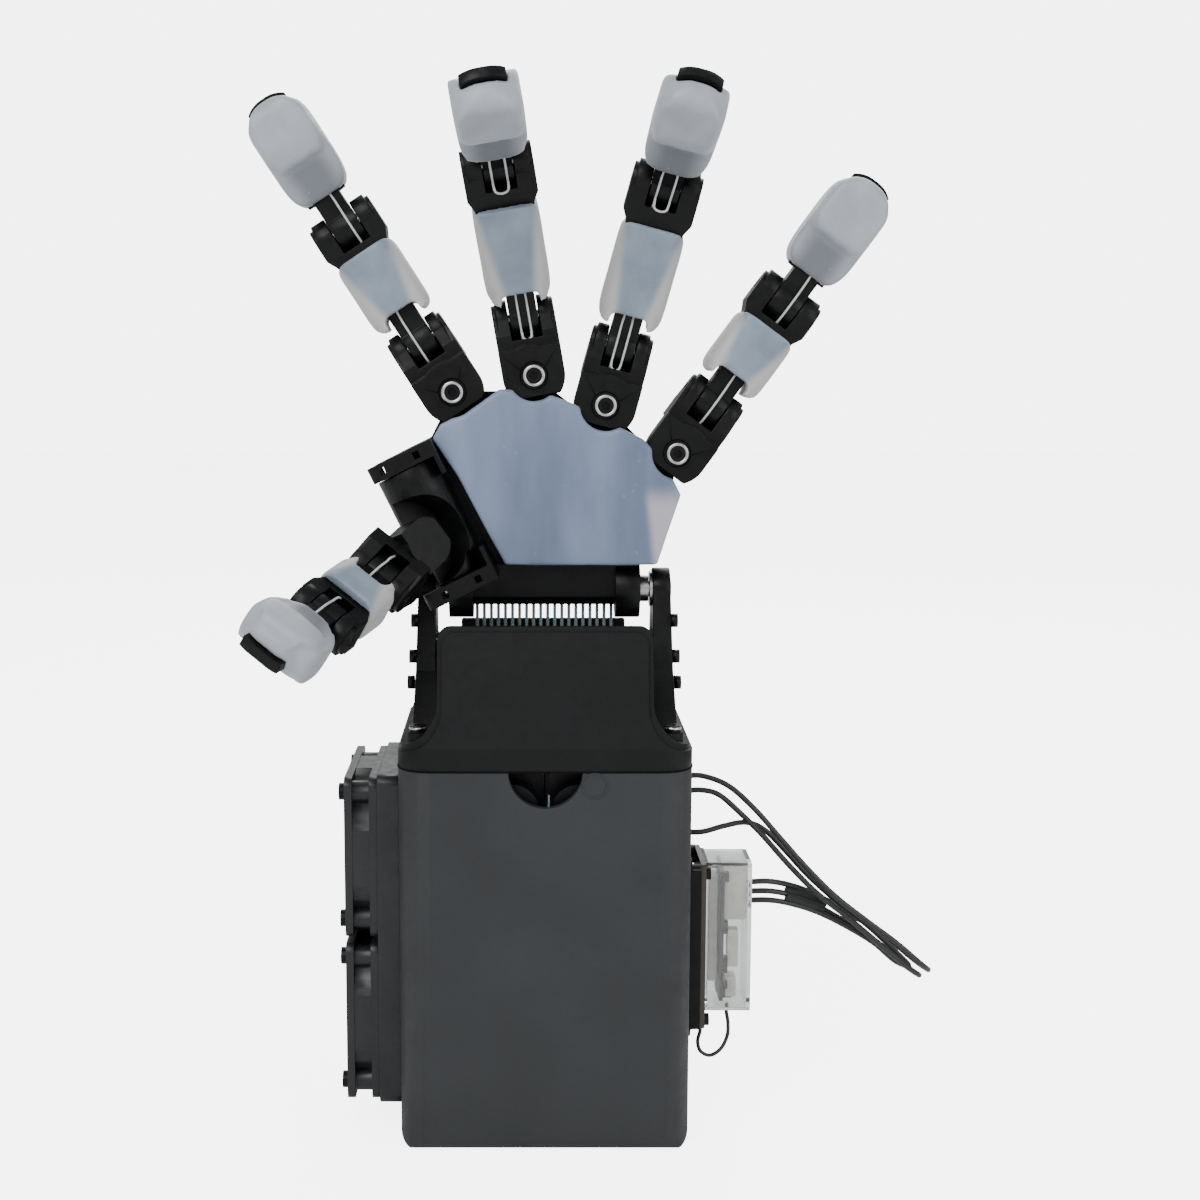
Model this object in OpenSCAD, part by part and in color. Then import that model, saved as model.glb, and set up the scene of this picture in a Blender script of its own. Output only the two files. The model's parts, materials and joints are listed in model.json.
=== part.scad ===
// Tendon-driven left hand on a forearm tower.
// Frame: +Z up, +X towards the little finger, -Y is the palm side.
// The origin is the middle of the base flange.
// Millimetres and degrees throughout.

/* [Forearm tower] */
// Width of the tower
body_w = 88; // [86:1:100]
// Depth of the tower
body_d = 80; // [78:1:92]
// Height of the lower housing, up to the seam
body_h = 117.5; // [116:0.5:130]
// Radius of the tower's upright corners
corner_r = 10; // [6:1:14]
// Wall of the housing and the shoulder cover
wall = 3; // [2:0.25:4]
// Thickness of the base floor
floor_t = 4; // [3:0.5:8]
// Radius of the finger notch under the seam
notch_r = 11; // [6:1:14]
// Height of the shoulder cover's front panel
shoulder_h = 42; // [38:1:46]
// Width of the shoulder cover's front panel
shoulder_w = 64; // [56:1:66]

/* [Base flange] */
// Pitch circle of the flange holes
flange_pcd = 50; // [40:1:60]
// Diameter of the flange holes, for M6
flange_hole_d = 6.4; // [6.2:0.1:7]

/* [Fans] */
// Side of a fan frame
fan_size = 50; // [48:1:52]
// Thickness of a fan frame
fan_t = 10; // [8:1:15]
// Distance between the two fans' centres
fan_pitch = 52; // [52:0.5:54]
// Depth of the duct plate between the fans and the tower
duct_t = 7; // [5:0.5:12]
// Number of blades on a fan rotor
blades = 7; // [5:1:9]

/* [Servos] */
// Width of a finger servo
servo_w = 19.6; // [18:0.1:19.8]
// Height of a finger servo
servo_h = 34; // [30:0.5:34.5]
// Depth of a finger servo
servo_d = 26; // [22:0.5:26]
// Radius of a tendon spool
spool_r = 8.25; // [6:0.25:8.5]

/* [Wrist] */
// Height of the wrist axis above the tower's body
wrist_rise = 49.5; // [48.5:0.5:54]
// Radius of the wrist barrel round the axis
barrel_r = 5; // [4:0.5:5.5]
// Radius of the wrist shaft
shaft_r = 2.5; // [2:0.25:3]
// Radius of a wrist bearing's outer ring
wrist_bearing_r = 4.5; // [4:0.25:5]
// Outer distance across the palm's two wrist arms
arm_span = 59; // [56:0.5:60]
// Number of tendons that cross the wrist
tendon_count = 20; // [8:1:20]
// Radius of a tendon
tendon_r = 0.45; // [0.3:0.05:0.5]

/* [Palm] */
// Thickness of the palm frame's back plate
plate_t = 8.5; // [6:0.5:9]
// Thickness of the silicone palm skin
skin_t = 3; // [2:0.25:4]
// Thickness of the back cover
cover_t = 2.5; // [2:0.25:4]

/* [Fingers] */
// Width of a knuckle
finger_w = 19; // [18:0.25:19.5]
// Width of the slot in a fork
slot_w = 9.4; // [8.6:0.1:10]
// Play on each side of a tongue in its fork
side_play = 0.4; // [0.3:0.05:0.6]
// Radius of a fork's ears
ear_r = 6; // [5.5:0.1:6.5]
// Radius of a hinge pin
pin_r = 1.5; // [1.2:0.1:2]
// Distance from the swing bolt to the first flexion pin
knuckle_len = 18; // [17:0.5:20]
// Width of a fingertip
tip_w = 19.8; // [19:0.2:21]
// Distance from the last flexion pin to the fingertip's end
tip_len = 45; // [42:0.5:50]
// Thickness of a knuckle from front to back
finger_t = 18; // [16:0.5:18.5]
// Play of a pin or bearing in the bore that turns on it
run = 0.05; // [0.02:0.01:0.08]

/* [Rest pose] */
// Sideways angle of each finger, from index to little finger
splay = [-33, -10, 15, 36]; // [-45:1:45]
// Flexion of the first joint of each finger
curl_first = [0, 27, 12, 0]; // [-10:1:60]
// Flexion of the second joint of each finger
curl_second = [3, 37, 39, 3]; // [-10:1:60]
// Turn of the thumb rotor towards the palm side
thumb_turn = 40; // [0:1:60]
// Sideways angle of the thumb
thumb_splay = -12; // [-14:1:20]
// Flexion of the thumb's first joint
thumb_curl_first = 19; // [-20:1:40]
// Flexion of the thumb's second joint
thumb_curl_second = 11; // [-15:1:60]

/* [Hidden] */
$fn = 48;
eps = 0.01;

// Colours of the finishes
black = "#26282a";
graphite = "#3a3c3f";
steel = "#b8babd";
silicone = "#c9d0dc";
clear = "#e6e8ea";
board_brown = "#5c4a2c";
line_grey = "#b9c2bd";

// Where each finger's swing bolt stands, from the wrist axis, as [x, z]
finger_base = [[-28, 61], [-3.3, 66], [18.4, 57], [40.3, 42.5]];
// Length between the two flexion pins of each finger, and from the sleeve's top to the second pin
finger_len = [41, 50, 50.5, 38];
sleeve_gap = [9, 11.5, 12, 9];
thumb_len = 30;
thumb_gap = 8;

// Tower
in_w = body_w - 2 * wall;
in_d = body_d - 2 * wall;
foot_r = 4;
panel_top = body_h + shoulder_h;
wrist_z = body_h + wrist_rise;
band_h = 7;
panel_lean = 8;

// Wrist and palm layers, front to back
tongue_w = slot_w - 2 * side_play;
half_t = finger_t / 2;
arm_t = 7.5;
cheek_gap = 4;
cheek_t = 5.5;
cheek_in = arm_span / 2 + cheek_gap;
plate_front = 1.4;
disc_back = plate_front - 0.4;
plate_back = plate_front + plate_t;
skin_gap = 0.5;
swing_play = 0.6;

// Swing joint hardware
bolt_r = 1.5;
bolt_head_r = 2.7;
bolt_head_h = 2.2;
bearing_r = 4;
bearing_w = 4;
post_r = 2.6;

// Thumb
thumb_base = [-32.4, -11, 18.2];
thumb_tilt = -26.2;
rotor_r = 9.5;
rotor_low = -14;
rotor_high = 21.7;
trunnion_r = 3;
cradle_t = 5;
cradle_play = 0.4;
thumb_arm = 10.5;
thumb_knuckle_len = 16;
thumb_twist = 28;

// Right-hand side board stack
board_y = -5;
board_z = [30, 83];
tray_t = 4.5;
pcb_t = 1.6;
board_screw_y = 11.2;
case_size = [14.6, 18, 48];
case_low = 34.5;

lead_r = 0.9;
link_r = 0.6;

// ---------- outlines ----------

// Rectangle with round corners, centred
module round_rect(w, h, r) {
    square([w - 2 * r, h], center = true);
    square([w, h - 2 * r], center = true);
    for (x = [-1, 1], y = [-1, 1])
        translate([x * (w / 2 - r), y * (h / 2 - r)]) circle(r);
}

// Extrudes an XZ outline along Y, from y0 to y1
module along_y(y0, y1) {
    translate([0, y1, 0]) rotate([90, 0, 0]) linear_extrude(y1 - y0) children();
}

// Extrudes a YZ outline along X, from x0 to x1
module along_x(x0, x1) {
    translate([x0, 0, 0]) rotate([90, 0, 90]) linear_extrude(x1 - x0) children();
}

// Round bar along X, centred on the origin
module bar_x(r, len) {
    rotate([0, 90, 0]) cylinder(r = r, h = len, center = true);
}

// Round bar along Y, from y0 to y1
module bar_y(r, y0, y1) {
    translate([0, y0, 0]) rotate([-90, 0, 0]) cylinder(r = r, h = y1 - y0);
}

// Socket-head screw along +Z, its head's underside on the origin
module socket_screw(r, len, head_r, head_h) {
    difference() {
        union() {
            translate([0, 0, -len]) cylinder(r = r, h = len);
            cylinder(r = head_r, h = head_h);
        }
        translate([0, 0, head_h * 0.4]) cylinder(r = head_r * 0.5, h = head_h, $fn = 6);
    }
}

// ---------- forearm tower ----------

fan_x = -body_w / 2 - duct_t - fan_t;
fan_zc = [35, 35 + fan_pitch];

module tower_plan(inset) {
    round_rect(body_w - 2 * inset, body_d - 2 * inset, corner_r - inset);
}

module forearm_housing() {
    color(black) difference() {
        intersection() {
            linear_extrude(body_h) tower_plan(0);
            along_y(-body_d, body_d) foot_profile(body_w);
            along_x(-body_w, body_w) foot_profile(body_d);
        }
        translate([0, 0, floor_t]) linear_extrude(body_h) tower_plan(wall);
        translate([0, 0, body_h]) bar_y(notch_r, -body_d, 0);
        for (z = fan_zc) translate([-body_w / 2, 0, z]) bar_x(fan_size / 2 - 3, 4 * wall);
        for (z = lead_exit_z) translate([body_w / 2, lead_y, z]) bar_x(lead_hole_r, 4 * wall);
        for (a = [45:90:315]) rotate([0, 0, a]) translate([flange_pcd / 2, 0, -1])
            cylinder(d = flange_hole_d, h = floor_t + 2);
    }
}

// Upright wall with rounded foot corners, as wide as w
module foot_profile(w) {
    translate([0, foot_r + body_h / 2]) square([w, body_h], center = true);
    translate([0, foot_r]) square([w - 2 * foot_r, 2 * foot_r], center = true);
    for (s = [-1, 1]) translate([s * (w / 2 - foot_r), foot_r]) circle(foot_r);
}

// Front view of the shoulder cover: a full band with a panel that sweeps up from it
module shoulder_front(inset) {
    scoop_r = 13;
    half = shoulder_w / 2 - inset;
    low = body_h + band_h;
    translate([-body_w / 2, body_h]) square([body_w, band_h - inset]);
    difference() {
        union() {
            translate([-half, body_h]) square([2 * half, shoulder_h - 4 - inset]);
            translate([-half + 4, body_h]) square([2 * half - 8, shoulder_h - inset]);
            for (s = [-1, 1]) translate([s * (half - 4), panel_top - 4 - inset]) circle(4);
            for (s = [-1, 1]) translate([s * (half + scoop_r / 2), low + scoop_r / 2 - inset])
                square([scoop_r, scoop_r], center = true);
        }
        for (s = [-1, 1]) translate([s * (half + scoop_r), low + scoop_r - inset]) circle(scoop_r);
    }
}

// Side view of the shoulder cover's outside or, with an inset, its hollow
module shoulder_side(inset) {
    half = body_d / 2 - inset;
    polygon([
        [-half, body_h - eps], [half, body_h - eps], [half, body_h + band_h],
        [half - panel_lean, panel_top + eps], [-half + panel_lean, panel_top + eps], [-half, body_h + band_h]
    ]);
}

module shoulder_cover() {
    back_drop = 10;
    color(black) difference() {
        union() {
            intersection() {
                translate([0, 0, body_h]) linear_extrude(shoulder_h) tower_plan(0);
                along_x(-body_w, body_w) shoulder_side(0);
                along_y(-body_d, body_d) shoulder_front(1.5);
            }
            intersection() {
                translate([0, 0, body_h]) linear_extrude(shoulder_h) tower_plan(1);
                along_x(-body_w, body_w) shoulder_side(1);
                along_y(-body_d, body_d) shoulder_front(0);
            }
        }
        intersection() {
            translate([0, 0, body_h - 1]) linear_extrude(shoulder_h + 2) tower_plan(wall);
            along_x(-body_w, body_w) shoulder_side(wall);
        }
        translate([-body_w, 0, panel_top - back_drop]) cube([2 * body_w, body_d, shoulder_h]);
    }
    // Lugs at the foot of the scoops
    color(black) for (s = [-1, 1]) translate([s * side_screw_x, side_screw_y, body_h]) difference() {
        cylinder(r = lug_r, h = side_screw_z - body_h);
        translate([0, 0, side_screw_z - body_h - 4]) cylinder(r = 1.4, h = 8);
    }
}

// ---------- servos ----------

bank_y = 1;
servo_gap = 0.4;
bank_low = 43;
bank_drop = 20.5;
row_pitch = servo_h + 1;
servo_cols = floor(in_w / (servo_w + servo_gap));
servo_rows = floor((body_h - bank_drop + servo_h / 2 - bank_low) / row_pitch);
bank_x = [for (i = [0:servo_cols - 1]) (i - (servo_cols - 1) / 2) * (servo_w + servo_gap)];
bank_z = [for (i = [1:servo_rows]) body_h - bank_drop - (servo_rows - i) * row_pitch];
horn_offset = 7.5;
horn_t = 2;
spool_play = 1.5;
spool_t = in_d / 2 - bank_y - servo_d - horn_t - spool_play;

module each_servo() {
    for (side = [-1, 1], x = bank_x, z = bank_z)
        translate([x, side * bank_y, z]) rotate([0, 0, side < 0 ? 0 : 180]) children();
}

module finger_servos() {
    lip = 1;
    color(graphite) each_servo() difference() {
        union() {
            translate([-servo_w / 2 + lip, -servo_d, -servo_h / 2])
                cube([servo_w - 2 * lip, servo_d, servo_h]);
            translate([-servo_w / 2, -servo_d + 2, -servo_h / 2 + lip])
                cube([servo_w, servo_d - 4, servo_h - 2 * lip]);
            translate([0, 0, horn_offset]) bar_y(7, -servo_d - horn_t, -servo_d);
        }
        translate([0, 0, -servo_h / 2]) cube([servo_w * 0.5, 10, 6], center = true);
    }
}

module servo_spools() {
    flange_t = 1;
    y0 = servo_d + horn_t;
    color(steel) each_servo() translate([0, 0, horn_offset]) {
        bar_y(spool_r, -y0 - flange_t, -y0);
        bar_y(spool_r - 2, -y0 - spool_t + flange_t, -y0 - flange_t);
        bar_y(spool_r, -y0 - spool_t, -y0 - spool_t + flange_t);
    }
}

module servo_rack() {
    plate = 1.4;
    gap = 2.7;
    low = bank_z[0] - servo_h / 2 - 2;
    high = body_h - 1;
    color(black) {
        difference() {
            union() {
                for (s = [-1, 1])
                    translate([-in_w / 2 + 0.5, s * (bank_y + servo_d + 0.1 + plate / 2) - plate / 2, low])
                    cube([in_w - 1, plate, high - low]);
                translate([-in_w / 2 + 0.5, -0.8, low]) cube([in_w - 1, 1.6, high - low]);
                translate([-in_w / 2 + 0.5, -servo_d - 2, low]) cube([in_w - 1, 2 * servo_d + 4, 1.6]);
            }
            for (x = bank_x, z = bank_z) translate([x, 0, z + horn_offset]) bar_y(7.4, -body_d, -2);
            for (x = bank_x, z = bank_z) translate([x, 0, z + horn_offset]) bar_y(7.4, 2, body_d);
            translate([-gap / 2, -body_d / 2, high - 14]) cube([gap, 18, 20]);
        }
    }
}

module wrist_servo() {
    size = [46.5, 34, 28.5];
    color(graphite) translate([0, 0, floor_t]) difference() {
        union() {
            translate([-size.x / 2, -size.y / 2 + 1, 0]) cube([size.x, size.y - 2, size.z]);
            translate([-size.x / 2 + 2, -size.y / 2, 2]) cube([size.x - 4, size.y, size.z - 4]);
            translate([size.x / 2 - 12, 0, size.z / 2]) bar_y(9, -size.y / 2 - 3, 0);
        }
        translate([0, 0, size.z]) cube([12, 14, 4], center = true);
    }
}

// ---------- wrist carrier ----------

yoke_base = body_h + 1;
yoke_foot_d = in_d - 22;
comb_top = wrist_z - 15;
comb_t = 6;
comb_w = 44;
tendon_pitch = 2.2;
side_screw_x = in_w / 2 - 3;
side_screw_y = -in_d / 2 + 5.5;
side_screw_z = body_h + band_h + 3.5;
lug_r = 3.2;

// Front view of a yoke cheek, which leans in from the tower wall to the bearing
cheek_foot = in_w / 2 - 1;
cheek_front = [
    [cheek_in, wrist_z + 20], [cheek_in, wrist_z - 20], [cheek_in - 2, yoke_base], [cheek_foot, yoke_base],
    [cheek_foot, yoke_base + 8], [cheek_in + cheek_t, wrist_z], [cheek_in + cheek_t, wrist_z + 20]
];

// Side view of a yoke cheek: a broad foot that narrows to the bearing eye
module cheek_profile() {
    eye = wrist_bearing_r + 2;
    foot = yoke_foot_d / 2;
    neck_z = wrist_z - 24;
    polygon([
        [-foot, yoke_base], [foot, yoke_base], [foot, yoke_base + 7], [12, neck_z], [eye, wrist_z],
        [-eye, wrist_z], [-12, neck_z], [-foot, yoke_base + 7]
    ]);
    translate([0, wrist_z]) circle(eye);
}

module wrist_yoke() {
    color(black) difference() {
        union() {
            for (s = [-1, 1]) intersection() {
                along_x(-body_w, body_w) cheek_profile();
                along_y(-body_d, body_d) polygon([for (p = cheek_front) [s * p.x, p.y]]);
            }
            translate([-cheek_foot, -yoke_foot_d / 2, yoke_base]) cube([2 * cheek_foot, yoke_foot_d, 3]);
            for (s = [-1, 1]) translate([-cheek_in - eps, s * 7 - 1.5, comb_top - comb_t - 3])
                cube([2 * cheek_in + 2 * eps, 3, comb_t + 3]);
        }
        translate([0, 0, wrist_z]) bar_x(wrist_bearing_r, 3 * body_w);
        translate([0, 0, yoke_base]) cube([comb_w, 36, 10], center = true);
    }
}

module wrist_bearings() {
    color(steel) for (s = [-1, 1]) translate([s * (cheek_in + 2.5), 0, wrist_z]) difference() {
        union() {
            bar_x(wrist_bearing_r, 5);
            translate([-s * 2.9, 0, 0]) bar_x(wrist_bearing_r + 1, 0.8);
        }
        bar_x(shaft_r + run, 12);
    }
}

function tendon_x(i) = (i - (tendon_count - 1) / 2) * tendon_pitch;

module tendon_comb() {
    color(graphite) difference() {
        translate([-comb_w / 2, -5.4, comb_top - comb_t]) cube([comb_w, 10.8, comb_t]);
        for (i = [0:tendon_count - 1]) translate([tendon_x(i), 0, comb_top - comb_t - 1])
            cylinder(r = tendon_r + 0.15, h = comb_t + 2);
    }
}

module wrist_tendons() {
    color(line_grey) for (i = [0:tendon_count - 1]) translate([tendon_x(i), 0, comb_top - comb_t - 20])
        cylinder(r = tendon_r, h = wrist_z - barrel_r - 0.5 - (comb_top - comb_t - 20), $fn = 16);
}

// ---------- fans ----------

module fan_duct() {
    h = 2 * fan_size + (fan_pitch - fan_size) + 2;
    zc = (fan_zc[0] + fan_zc[1]) / 2;
    color(black) translate([-body_w / 2 - duct_t, 0, 0]) difference() {
        along_x(0, duct_t) translate([0, zc]) round_rect(fan_size + 2, h, 3);
        for (z = fan_zc) translate([duct_t / 2, 0, z]) bar_x(fan_size / 2 - 2, 2 * duct_t);
        for (z = fan_zc, y = [-1, 1], dz = [-1, 1])
            translate([duct_t / 2, y * fan_screw, z + dz * fan_screw]) bar_x(1.3, 2 * duct_t);
    }
}

fan_screw = 20;
fan_flange = 2.4;
hub_r = 11;
fan_shaft_r = 1.5;

module fan_frames() {
    color(graphite) for (z = fan_zc) translate([fan_x, 0, z]) fan_frame();
}

module fan_frame() {
    bore_r = fan_size / 2 - 1.7;
    difference() {
        union() {
            for (x = [0, fan_t - fan_flange]) along_x(x, x + fan_flange) round_rect(fan_size, fan_size, 3);
            intersection() {
                translate([fan_t / 2, 0, 0]) bar_x(fan_size / 2 + 1.2, fan_t);
                along_x(0, fan_t) square(fan_size - 0.6, center = true);
            }
            for (y = [-1, 1], z = [-1, 1])
                translate([fan_t / 2, y * fan_screw, z * fan_screw]) bar_x(3.3, fan_t);
        }
        translate([fan_t / 2, 0, 0]) bar_x(bore_r, 2 * fan_t);
        for (y = [-1, 1], z = [-1, 1])
            translate([fan_t / 2, y * fan_screw, z * fan_screw]) bar_x(1.7, 2 * fan_t);
    }
    // Motor mount and its struts on the outer face
    difference() {
        union() {
            translate([0.8, 0, 0]) bar_x(hub_r, 1.6);
            for (a = [45:90:315])
                rotate([a, 0, 0]) translate([0, -1.2, hub_r - 1]) cube([1.6, 2.4, bore_r - hub_r + 1.6]);
            translate([2.6, 0, 0]) bar_x(3, 2.4);
        }
        translate([2.4, 0, 0]) bar_x(fan_shaft_r + run, 2.8);
    }
}

// Rotor with its cup towards the motor mount and swept blades
module fan_rotor() {
    x0 = 2.4;
    x1 = fan_t - 0.8;
    sweep_r = fan_size / 2 - 2.7;
    difference() {
        union() {
            translate([(x0 + x1) / 2, 0, 0]) bar_x(hub_r - 0.6, x1 - x0);
            intersection() {
                for (i = [0:blades - 1])
                    rotate([i * 360 / blades, 0, 0]) translate([(x0 + x1) / 2, 0, hub_r - 2])
                    rotate([0, 0, 38]) translate([-0.6, -5.4, 0]) cube([1.2, 10.8, fan_size]);
                translate([(x0 + x1) / 2, 0, 0]) bar_x(sweep_r, x1 - x0 - 0.4);
            }
        }
        translate([(x0 + x1) / 2 - 1.6, 0, 0]) bar_x(hub_r - 1.8, x1 - x0);
    }
    translate([(x1 + 1.6) / 2, 0, 0]) bar_x(fan_shaft_r, x1 - 1.6);
}

module fan_rotor_at(i) {
    color(graphite) translate([fan_x, 0, fan_zc[i]]) fan_rotor();
}

// ---------- board stack ----------

case_x = body_w / 2 + tray_t + pcb_t;
lead_y = -4;
lead_exit_z = [108, 103, 90];
lead_hole_r = 1.4;
port_z = [74, 71, 68];

module board_bracket() {
    h = board_z[1] - board_z[0] + 4;
    zc = (board_z[0] + board_z[1]) / 2;
    color(black) translate([body_w / 2, board_y, 0]) difference() {
        union() {
            along_x(0, 1.6) translate([0, zc]) round_rect(30, h, 3);
            for (y = [-1, 1], z = [-1, 1])
                translate([tray_t / 2, y * board_screw_y, zc + z * (h / 2 - 5)]) bar_x(3, tray_t);
            translate([0, -15, zc - h / 2 + 3]) cube([tray_t, 2, h - 6]);
        }
        for (y = [-1, 1], z = [-1, 1])
            translate([tray_t / 2, y * board_screw_y, zc + z * (h / 2 - 5)]) bar_x(1.2, 3 * tray_t);
    }
}

module circuit_boards() {
    h = board_z[1] - board_z[0];
    zc = (board_z[0] + board_z[1]) / 2;
    x0 = body_w / 2 + tray_t;
    color(board_brown) {
        translate([x0, board_y, zc]) difference() {
            along_x(0, pcb_t) round_rect(26, h, 2);
            for (y = [-1, 1], z = [-1, 1])
                translate([0, y * board_screw_y, z * ((h + 4) / 2 - 5)]) bar_x(1.3, 8);
        }
        translate([case_x + 5, board_y - 7, case_low + 3]) cube([1.2, 14, case_size.z - 6]);
        for (z = port_z) translate([case_x + 6.2, board_y - 4, z - 1.3]) cube([case_size.x - 7.8, 8, 2.6]);
        translate([case_x + 6.2, board_y - 4, case_low + 3]) cube([3, 8, 6]);
    }
}

module adapter_case() {
    shell = 1.2;
    color(clear) translate([case_x, board_y, case_low]) difference() {
        translate([0, 0, case_size.z / 2]) along_x(0, case_size.x) round_rect(case_size.y, case_size.z, 1.5);
        translate([shell, -case_size.y / 2 + shell, shell])
            cube([case_size.x - 2 * shell, case_size.y - 2 * shell, case_size.z - 2 * shell]);
        for (z = port_z) translate([case_size.x - shell - 1, -2, z - case_low - 1]) cube([shell + 2, 4, 2]);
    }
}

// ---------- fasteners ----------

module case_screws() {
    h = board_z[1] - board_z[0] + 4;
    zc = (board_z[0] + board_z[1]) / 2;
    color(steel) {
        for (z = fan_zc, y = [-1, 1], dz = [-1, 1]) translate([fan_x, y * fan_screw, z + dz * fan_screw])
            rotate([0, -90, 0]) socket_screw(1.3, fan_t + 4, 2.6, 1.8);
        for (s = [-1, 1]) translate([s * side_screw_x, side_screw_y, side_screw_z])
            socket_screw(1.4, 4, 2.4, 2);
        for (y = [-1, 1], z = [-1, 1])
            translate([body_w / 2 + tray_t + pcb_t, board_y + y * board_screw_y, zc + z * (h / 2 - 5)])
            rotate([0, 90, 0]) socket_screw(1.2, tray_t, 1.9, 1.4);
    }
}

// ---------- leads ----------

// Points on a smooth curve through the route's points
function curve_point(p, i, t) =
    let (a = p[max(i - 1, 0)], b = p[i], c = p[i + 1], d = p[min(i + 2, len(p) - 1)])
    0.5 * (2 * b + (c - a) * t + (2 * a - 5 * b + 4 * c - d) * t * t + (3 * b - a - 3 * c + d) * t * t * t);
function curve(p, n) = [
    for (i = [0:len(p) - 2], k = [0:n - 1]) curve_point(p, i, k / n), p[len(p) - 1]
];
function unit(v) = v / norm(v);
// Direction of the line at each of its points
function heading(q, i) = unit(q[min(i + 1, len(q) - 1)] - q[max(i - 1, 0)]);

// Round tube along the line q, as one polyhedron
module tube(q, r, sides = 8) {
    n = len(q);
    rings = [
        for (i = [0:n - 1])
            let (t = heading(q, i), u = unit(cross(t, [0.15, 1, 0.1])), v = cross(t, u))
            for (k = [0:sides - 1]) q[i] + r * (cos(360 * k / sides) * u + sin(360 * k / sides) * v)
    ];
    walls = [
        for (i = [0:n - 2], k = [0:sides - 1])
            let (a = i * sides + k, b = i * sides + (k + 1) % sides)
            each [[a, a + sides, b], [b, a + sides, b + sides]]
    ];
    first = [for (k = [1:sides - 2]) [0, k, k + 1]];
    last = [for (k = [1:sides - 2]) [(n - 1) * sides, (n - 1) * sides + k + 1, (n - 1) * sides + k]];
    polyhedron(points = rings, faces = concat(walls, first, last));
}

bus_upper_route = [
    [44, -4, 108], [50, -4, 108], [58, -5, 105], [66, -6, 98], [74, -7, 89], [82, -8, 80],
    [91, -9, 71], [101, -9, 63], [111, -9, 55.5], [119, -8.5, 48.5], [122.5, -4.5, 45], [119, 0.5, 46.5],
    [110, 1, 54], [100, 1, 60.5], [90, 1, 66.5], [81, -1, 71], [72, -4, 73.8], [64.7, -5, 74]
];
bus_middle_route = [
    [44, -4, 103], [49, -4, 103.5], [55, -4, 102], [62, -4.5, 96], [69, -5, 89], [77, -6, 80],
    [86, -7, 71], [96, -7, 63], [106, -7, 54.5], [115, -6.8, 47], [119.8, -4, 43], [116, -1.2, 45],
    [108, -1, 51.5], [99, -1, 58], [89, -1, 64], [80, -2.5, 68.5], [72, -4.5, 70.8], [64.7, -5, 71]
];
bus_lower_route = [
    [44, -4, 90], [50, -4, 90], [57, -2.5, 91.5], [64, -2, 92.5], [70, -2, 90], [77, -3, 83],
    [84, -4.2, 75.5], [93, -5, 67.5], [103, -5, 59.5], [112, -5, 51], [116.5, -4, 46], [112, -3, 47.5],
    [105, -3, 53.5], [96, -3, 59], [87, -3, 63.5], [78, -3.8, 66.6], [71, -4.8, 68], [64.7, -5, 68]
];
link_route = [
    [49.3, -12, 29.95], [49.3, -12, 27.5], [48.6, -12, 24], [49.6, -12, 20.8], [52.6, -11.8, 19.4],
    [56, -11, 21.2],
    [58.2, -9.6, 25], [58.5, -8.4, 29], [58, -8, 32.2], [58, -8, 34.45]
];

module bus_lead_upper() { color(black) tube(curve(bus_upper_route, 2), lead_r); }
module bus_lead_middle() { color(black) tube(curve(bus_middle_route, 2), lead_r); }
module bus_lead_lower() { color(black) tube(curve(bus_lower_route, 2), lead_r); }
module link_lead() { color(black) tube(curve(link_route, 2), link_r); }

// ---------- palm, in a frame on the wrist axis ----------

eye_r = 6.5;
arm_r = 9;
block_low = -2;
block_high = 8;
skin_low = 8.5;
scallop_r = 7.6;
front_y = -half_t - skin_gap;
foot_gap_r = finger_w / 2 + swing_play;
bearing_y = -half_t + 0.2;
cradle_reach = 11;
cradle_low = rotor_low - cradle_play - cradle_t;
cradle_high = rotor_high + cradle_play + cradle_t;
line_slot = 2.2;

plate_edge = [
    [-arm_span / 2, 0], [arm_span / 2, 0], [arm_span / 2, 8], [40, 28], [40.3, 42.5],
    [30, 46], [18.4, 57], [9, 56.5], [-3.3, 66],
    [-13.5, 61], [-28, 61], [-33, 51], [-36, 45], [-50, 38], [-44, 22], [-36, 15], [-arm_span / 2, 13]
];
skin_edge = [
    [-12, 8.5], [34.5, 8.5], [41.5, 30], [37, 39], [30, 47], [20, 52], [9, 57.5], [0, 61],
    [-13.5, 62], [-22, 56], [-31.5, 51.5], [-34, 47], [-26.5, 36]
];

module on_wrist() { translate([0, 0, wrist_z]) children(); }
module on_rotor_axis() { translate(thumb_base) rotate([0, thumb_tilt, 0]) children(); }

module skin_outline(inset, cut_r) {
    difference() {
        if (inset > 0) intersection() {
            polygon(skin_edge);
            translate([-inset, 0]) polygon(skin_edge);
            translate([0, -inset]) polygon(skin_edge);
        }
        else polygon(skin_edge);
        for (p = finger_base) translate(p) circle(cut_r);
    }
}

// Solid that the thumb cradle and its rotor stand in
module cradle_space(y0, y1) {
    on_rotor_axis() translate([cradle_reach - 60, y0 - thumb_base.y, -60]) cube([60, y1 - y0, 120]);
}

// Block across the wrist that the palm plate stands on
module wrist_block() {
    translate([-arm_span / 2, -barrel_r, block_low])
        cube([arm_span, barrel_r + plate_back, block_high - block_low]);
    bar_x(barrel_r, arm_span);
    for (s = [-1, 1]) translate([s * (arm_span - arm_t) / 2, 0, 0]) bar_x(arm_r, arm_t);
}

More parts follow.
